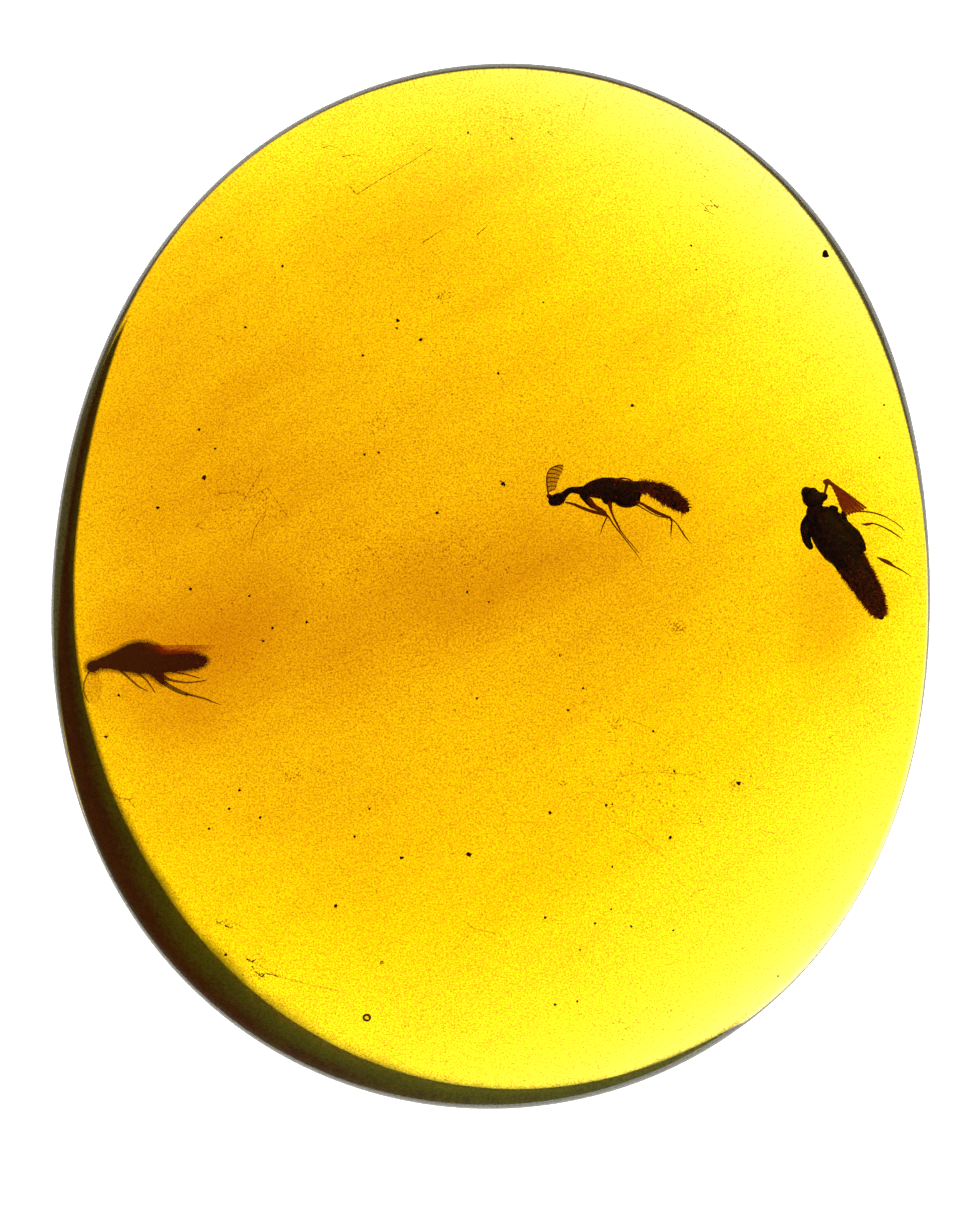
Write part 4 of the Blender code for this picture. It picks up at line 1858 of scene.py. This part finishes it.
# The first speck, at (826, 254), is a bubble drawn as a dark opaque grain: its darkness is painted shade for
# the light that the bubble bends away.
SPECKS = tuple(
    Speck((x, y), radius)
    for x, y, radius in (
        (826, 254, 4.2), (738, 783, 2.8), (469, 854, 2.6), (336, 905, 2.6), (402, 857, 2.2),
        (421, 340, 2.0), (398, 321, 2.0), (397, 329, 1.5), (468, 133, 1.6), (222, 238, 1.5),
        (283, 267, 1.6), (246, 328, 1.5), (363, 356, 1.6), (200, 430, 1.5), (216, 449, 1.4),
        (365, 455, 1.8), (379, 453, 1.6), (498, 374, 1.6), (205, 478, 2.6), (159, 508, 2.0),
        (437, 513, 1.9), (191, 589, 1.8), (250, 596, 1.5), (273, 628, 1.6), (264, 641, 1.5),
        (307, 622, 1.6), (467, 592, 1.5), (489, 602, 1.5), (503, 484, 2.2), (632, 406, 2.0),
        (120, 695, 1.8), (107, 736, 2.0), (226, 954, 2.0), (210, 828, 1.6), (230, 808, 1.8),
        (240, 790, 1.8), (261, 817, 2.0), (355, 836, 1.6), (370, 808, 1.6), (477, 698, 1.8),
        (583, 688, 1.5), (568, 710, 1.6), (653, 731, 1.7), (674, 771, 1.5), (550, 812, 2.0),
        (606, 805, 1.8), (612, 804, 1.3), (670, 837, 2.0), (612, 866, 1.6), (545, 917, 1.7),
        (595, 923, 1.5), (611, 909, 1.4), (580, 949, 1.3), (631, 926, 1.5), (673, 930, 1.3),
        (555, 1004, 1.6), (577, 1001, 1.5), (778, 976, 1.5), (512, 139, 1.5), (543, 303, 1.4),
        (691, 246, 1.3), (696, 270, 1.3), (884, 405, 1.4), (879, 458, 1.5),
    )
)
STRANDS = tuple(
    Strand(tuple(pixels), width)
    for *pixels, width in (
        ((350, 187), (357, 195), (380, 180), (410, 163), (433, 148), 1.3),
        ((323, 148), (330, 146), (337, 148), 1.4), ((343, 157), (353, 155), (363, 157), 1.3),
        ((477, 235), (487, 227), 1.5), ((423, 243), (443, 230), 1.3), ((702, 203), (709, 212), 1.4),
        ((704, 210), (715, 215), 1.2), ((706, 206), (720, 206), 1.3), ((710, 200), (718, 209), 1.3),
        ((701, 196), (704, 197), 2.0), ((716, 207), (721, 207), 2.2),
        ((500, 481), (505, 484), (504, 488), 2.0), ((829, 738), (832, 735), 2.2),
        ((217, 920), (220, 922), (223, 921), 2.0), ((226, 925), (231, 927), (234, 926), 2.0),
        ((247, 958), (252, 961), (257, 958), 2.2), ((252, 965), (256, 971), (262, 976), (266, 972), 2.2),
        ((257, 972), (265, 974), 1.8), ((267, 973), (274, 974), (280, 977), 1.8),
    )
)
WISPS = tuple(
    Strand(tuple(pixels), width)
    for *pixels, width in (
        ((215, 495), (235, 492), (250, 498), (268, 488), (290, 520), 1.5),
        ((245, 500), (258, 478), (264, 467), 1.4),
        ((259, 500), (263, 492), (267, 497), (266, 515), (262, 523), 1.6),
        ((266, 512), (255, 530), (251, 549), 1.6), ((205, 522), (197, 526), (206, 530), 2.0),
        ((112, 790), (120, 797), (130, 799), (137, 796), 3.0), ((130, 799), (137, 808), 2.2),
        ((420, 712), (430, 718), (437, 722), 1.4), ((450, 953), (458, 945), (470, 933), 1.3),
        ((463, 920), (475, 928), (497, 933), 1.4), ((616, 776), (650, 771), (690, 774), (705, 780), 1.4),
        ((755, 788), (772, 789), 1.4), ((759, 828), (767, 832), (776, 833), 1.8),
        ((690, 896), (698, 890), (706, 888), 1.6), ((626, 830), (645, 840), (664, 857), 1.3),
        ((688, 822), (702, 824), (705, 827), 1.5), ((650, 728), (620, 716), (612, 730), 1.3),
        ((250, 960), (266, 968), (280, 976), (310, 984), (340, 990), 1.5), ((217, 922), (230, 926), 2.0),
        ((588, 93), (584, 108), (582, 115), 1.5), ((500, 116), (520, 121), 1.4),
        ((742, 158), (752, 162), 1.6), ((700, 163), (710, 172), 1.5),
        ((803, 362), (812, 355), (820, 354), 1.8),
    )
)
DEBRIS = tuple(
    Debris((x, y), (across, along), count)
    for x, y, across, along, count in (
        (233, 923, 16, 5, 24), (265, 968, 22, 12, 60), (377, 427, 12, 12, 26), (443, 298, 12, 9, 40),
        (293, 777, 14, 6, 20), (322, 771, 8, 4, 10), (650, 795, 60, 50, 160), (677, 628, 9, 7, 40),
        (614, 724, 10, 12, 24), (738, 783, 14, 11, 46), (560, 780, 10, 8, 16), (250, 505, 40, 26, 70),
        (130, 515, 14, 6, 20), (355, 560, 70, 40, 120), (470, 560, 50, 26, 120), (640, 1020, 60, 26, 90),
        (540, 120, 60, 24, 60), (705, 170, 16, 12, 20),
    )
)
INCLUSIONS = Inclusions(SPECKS, STRANDS, WISPS, DEBRIS)


@dataclass(frozen=True)
class Lamp:
    """A wide soft lamp that faces the stone: its place and side in metres and its power in watts."""

    name: str
    place: Point
    side: float
    power: float

    def build(self) -> None:
        """Hang the lamp, unseen in the polish."""
        light = bpy.data.lights.new(self.name, "AREA")
        light.shape = "SQUARE"
        light.size = self.side
        light.energy = self.power
        lamp = placed(self.name, light)
        lamp.location = self.place
        lamp.rotation_euler = (-Vector(self.place)).to_track_quat("-Z", "Y").to_euler()
        lamp.visible_glossy = False


@dataclass(frozen=True)
class Studio:
    """The pale floor lit from below like a light table, soft lamps, a pale room and the camera."""

    floor_size: float = 0.8
    floor_faces: int = 8
    floor_level: float = -0.00002
    glow: float = 2.74
    glow_inner_mm: float = 24.0
    glow_outer_mm: float = 70.0
    floor_far_glow: float = 0.24
    floor_colour: Colour = (0.03, 0.03, 0.03)
    floor_roughness: float = 0.9
    lamps: tuple[Lamp, ...] = (
        Lamp("soft_lamp_left", (-0.35, -0.15, 0.40), 0.45, 1.4),
        Lamp("soft_lamp_back", (0.20, 0.42, 0.36), 0.45, 1.0),
    )
    room_stops: tuple[tuple[float, Colour], ...] = (
        (0.30, (0.32, 0.32, 0.27)),
        (0.60, (0.035, 0.037, 0.040)),
    )
    lens: float = 1200.0
    sensor: float = 36.0
    nearest: float = 0.005
    girdle_height: float = 1.2

    def floor_material(self) -> bpy.types.Material:
        """The floor's material.

        Returns:
            A sheet lit from within, brightest around the stone.
        """
        graph = Graph("lit_floor")
        far = graph.between(graph.length(graph.place()), self.glow_inner_mm * MM, self.glow_outer_mm * MM)
        glow = graph.mix(far, WHITE, (self.floor_far_glow,) * 3)
        values = {
            "Base Color": (*self.floor_colour, 1.0),
            "Roughness": self.floor_roughness,
            "Specular IOR Level": 0.0,
            "Emission Color": glow,
            "Emission Strength": self.glow,
        }
        return graph.finish(values)

    def build(self, picture: Picture) -> bpy.types.Object:
        """Make the floor, lamps, room and camera.

        Args:
            picture: the frame that the camera takes.

        Returns:
            The floor.
        """
        form = bmesh.new()
        faces = self.floor_faces
        bmesh.ops.create_grid(form, x_segments=faces, y_segments=faces, size=0.5 * self.floor_size)
        mesh = closed(form, "floor")
        sheet = self.floor_material()
        sheet.cycles.emission_sampling = "NONE"
        mesh.materials.append(sheet)
        floor = placed("floor", mesh)
        floor.location.z = self.floor_level
        for lamp in self.lamps:
            lamp.build()
        self.room()
        self.camera(picture)
        return floor

    def room(self) -> None:
        """Give the world a light that fades overhead, so that the dome mirrors nothing bright."""
        world = bpy.data.worlds.new("room")
        world.use_nodes = True
        tree = world.node_tree
        where = tree.nodes.new("ShaderNodeTexCoord")
        parts = tree.nodes.new("ShaderNodeSeparateXYZ")
        ramp = tree.nodes.new("ShaderNodeValToRGB")
        for element, (position, colour) in zip(ramp.color_ramp.elements, self.room_stops):
            element.position = position
            element.color = (*colour, 1.0)
        tree.links.new(where.outputs["Generated"], parts.inputs[0])
        tree.links.new(parts.outputs["Z"], ramp.inputs[0])
        tree.links.new(ramp.outputs[0], tree.nodes["Background"].inputs["Color"])
        bpy.context.scene.world = world
        bpy.context.scene.view_settings.view_transform = "Standard"

    def camera(self, picture: Picture) -> None:
        """Add the camera, straight above the frame's middle.

        Args:
            picture: the frame that it takes.
        """
        data = bpy.data.cameras.new("camera")
        data.lens = self.lens
        data.sensor_width = self.sensor
        data.clip_start = self.nearest
        away = picture.height * picture.mm_per_pixel * self.lens / self.sensor
        camera = placed("camera", data)
        x, y = picture.centre()
        camera.location = Vector((x, y, away + self.girdle_height)) * MM
        bpy.context.scene.camera = camera


def report(piece: bpy.types.Object) -> None:
    """Log a piece's name and size."""
    LOG.info("%s: %d faces", piece.name, len(piece.data.polygons))


def main() -> None:
    """Build the stone, the beetles, what else the amber holds and the studio."""
    logging.basicConfig(level=logging.INFO, format="%(name)s: %(message)s")
    picture = Picture()
    stone = AmberStone()
    clear = stone.build(picture)
    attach(clear, "root")
    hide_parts("amber_upper", "amber_lower")
    report(clear)
    for beetle in BEETLES:
        insect = beetle.build(stone)
        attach(insect, "root")
        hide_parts(beetle.name)
        report(insect)
    for extra in (GroundEdge().build(stone), INCLUSIONS.build(stone, picture)):
        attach(extra, "root")
        report(extra)
    Studio().build(picture)


if __name__ == "__main__":
    main()
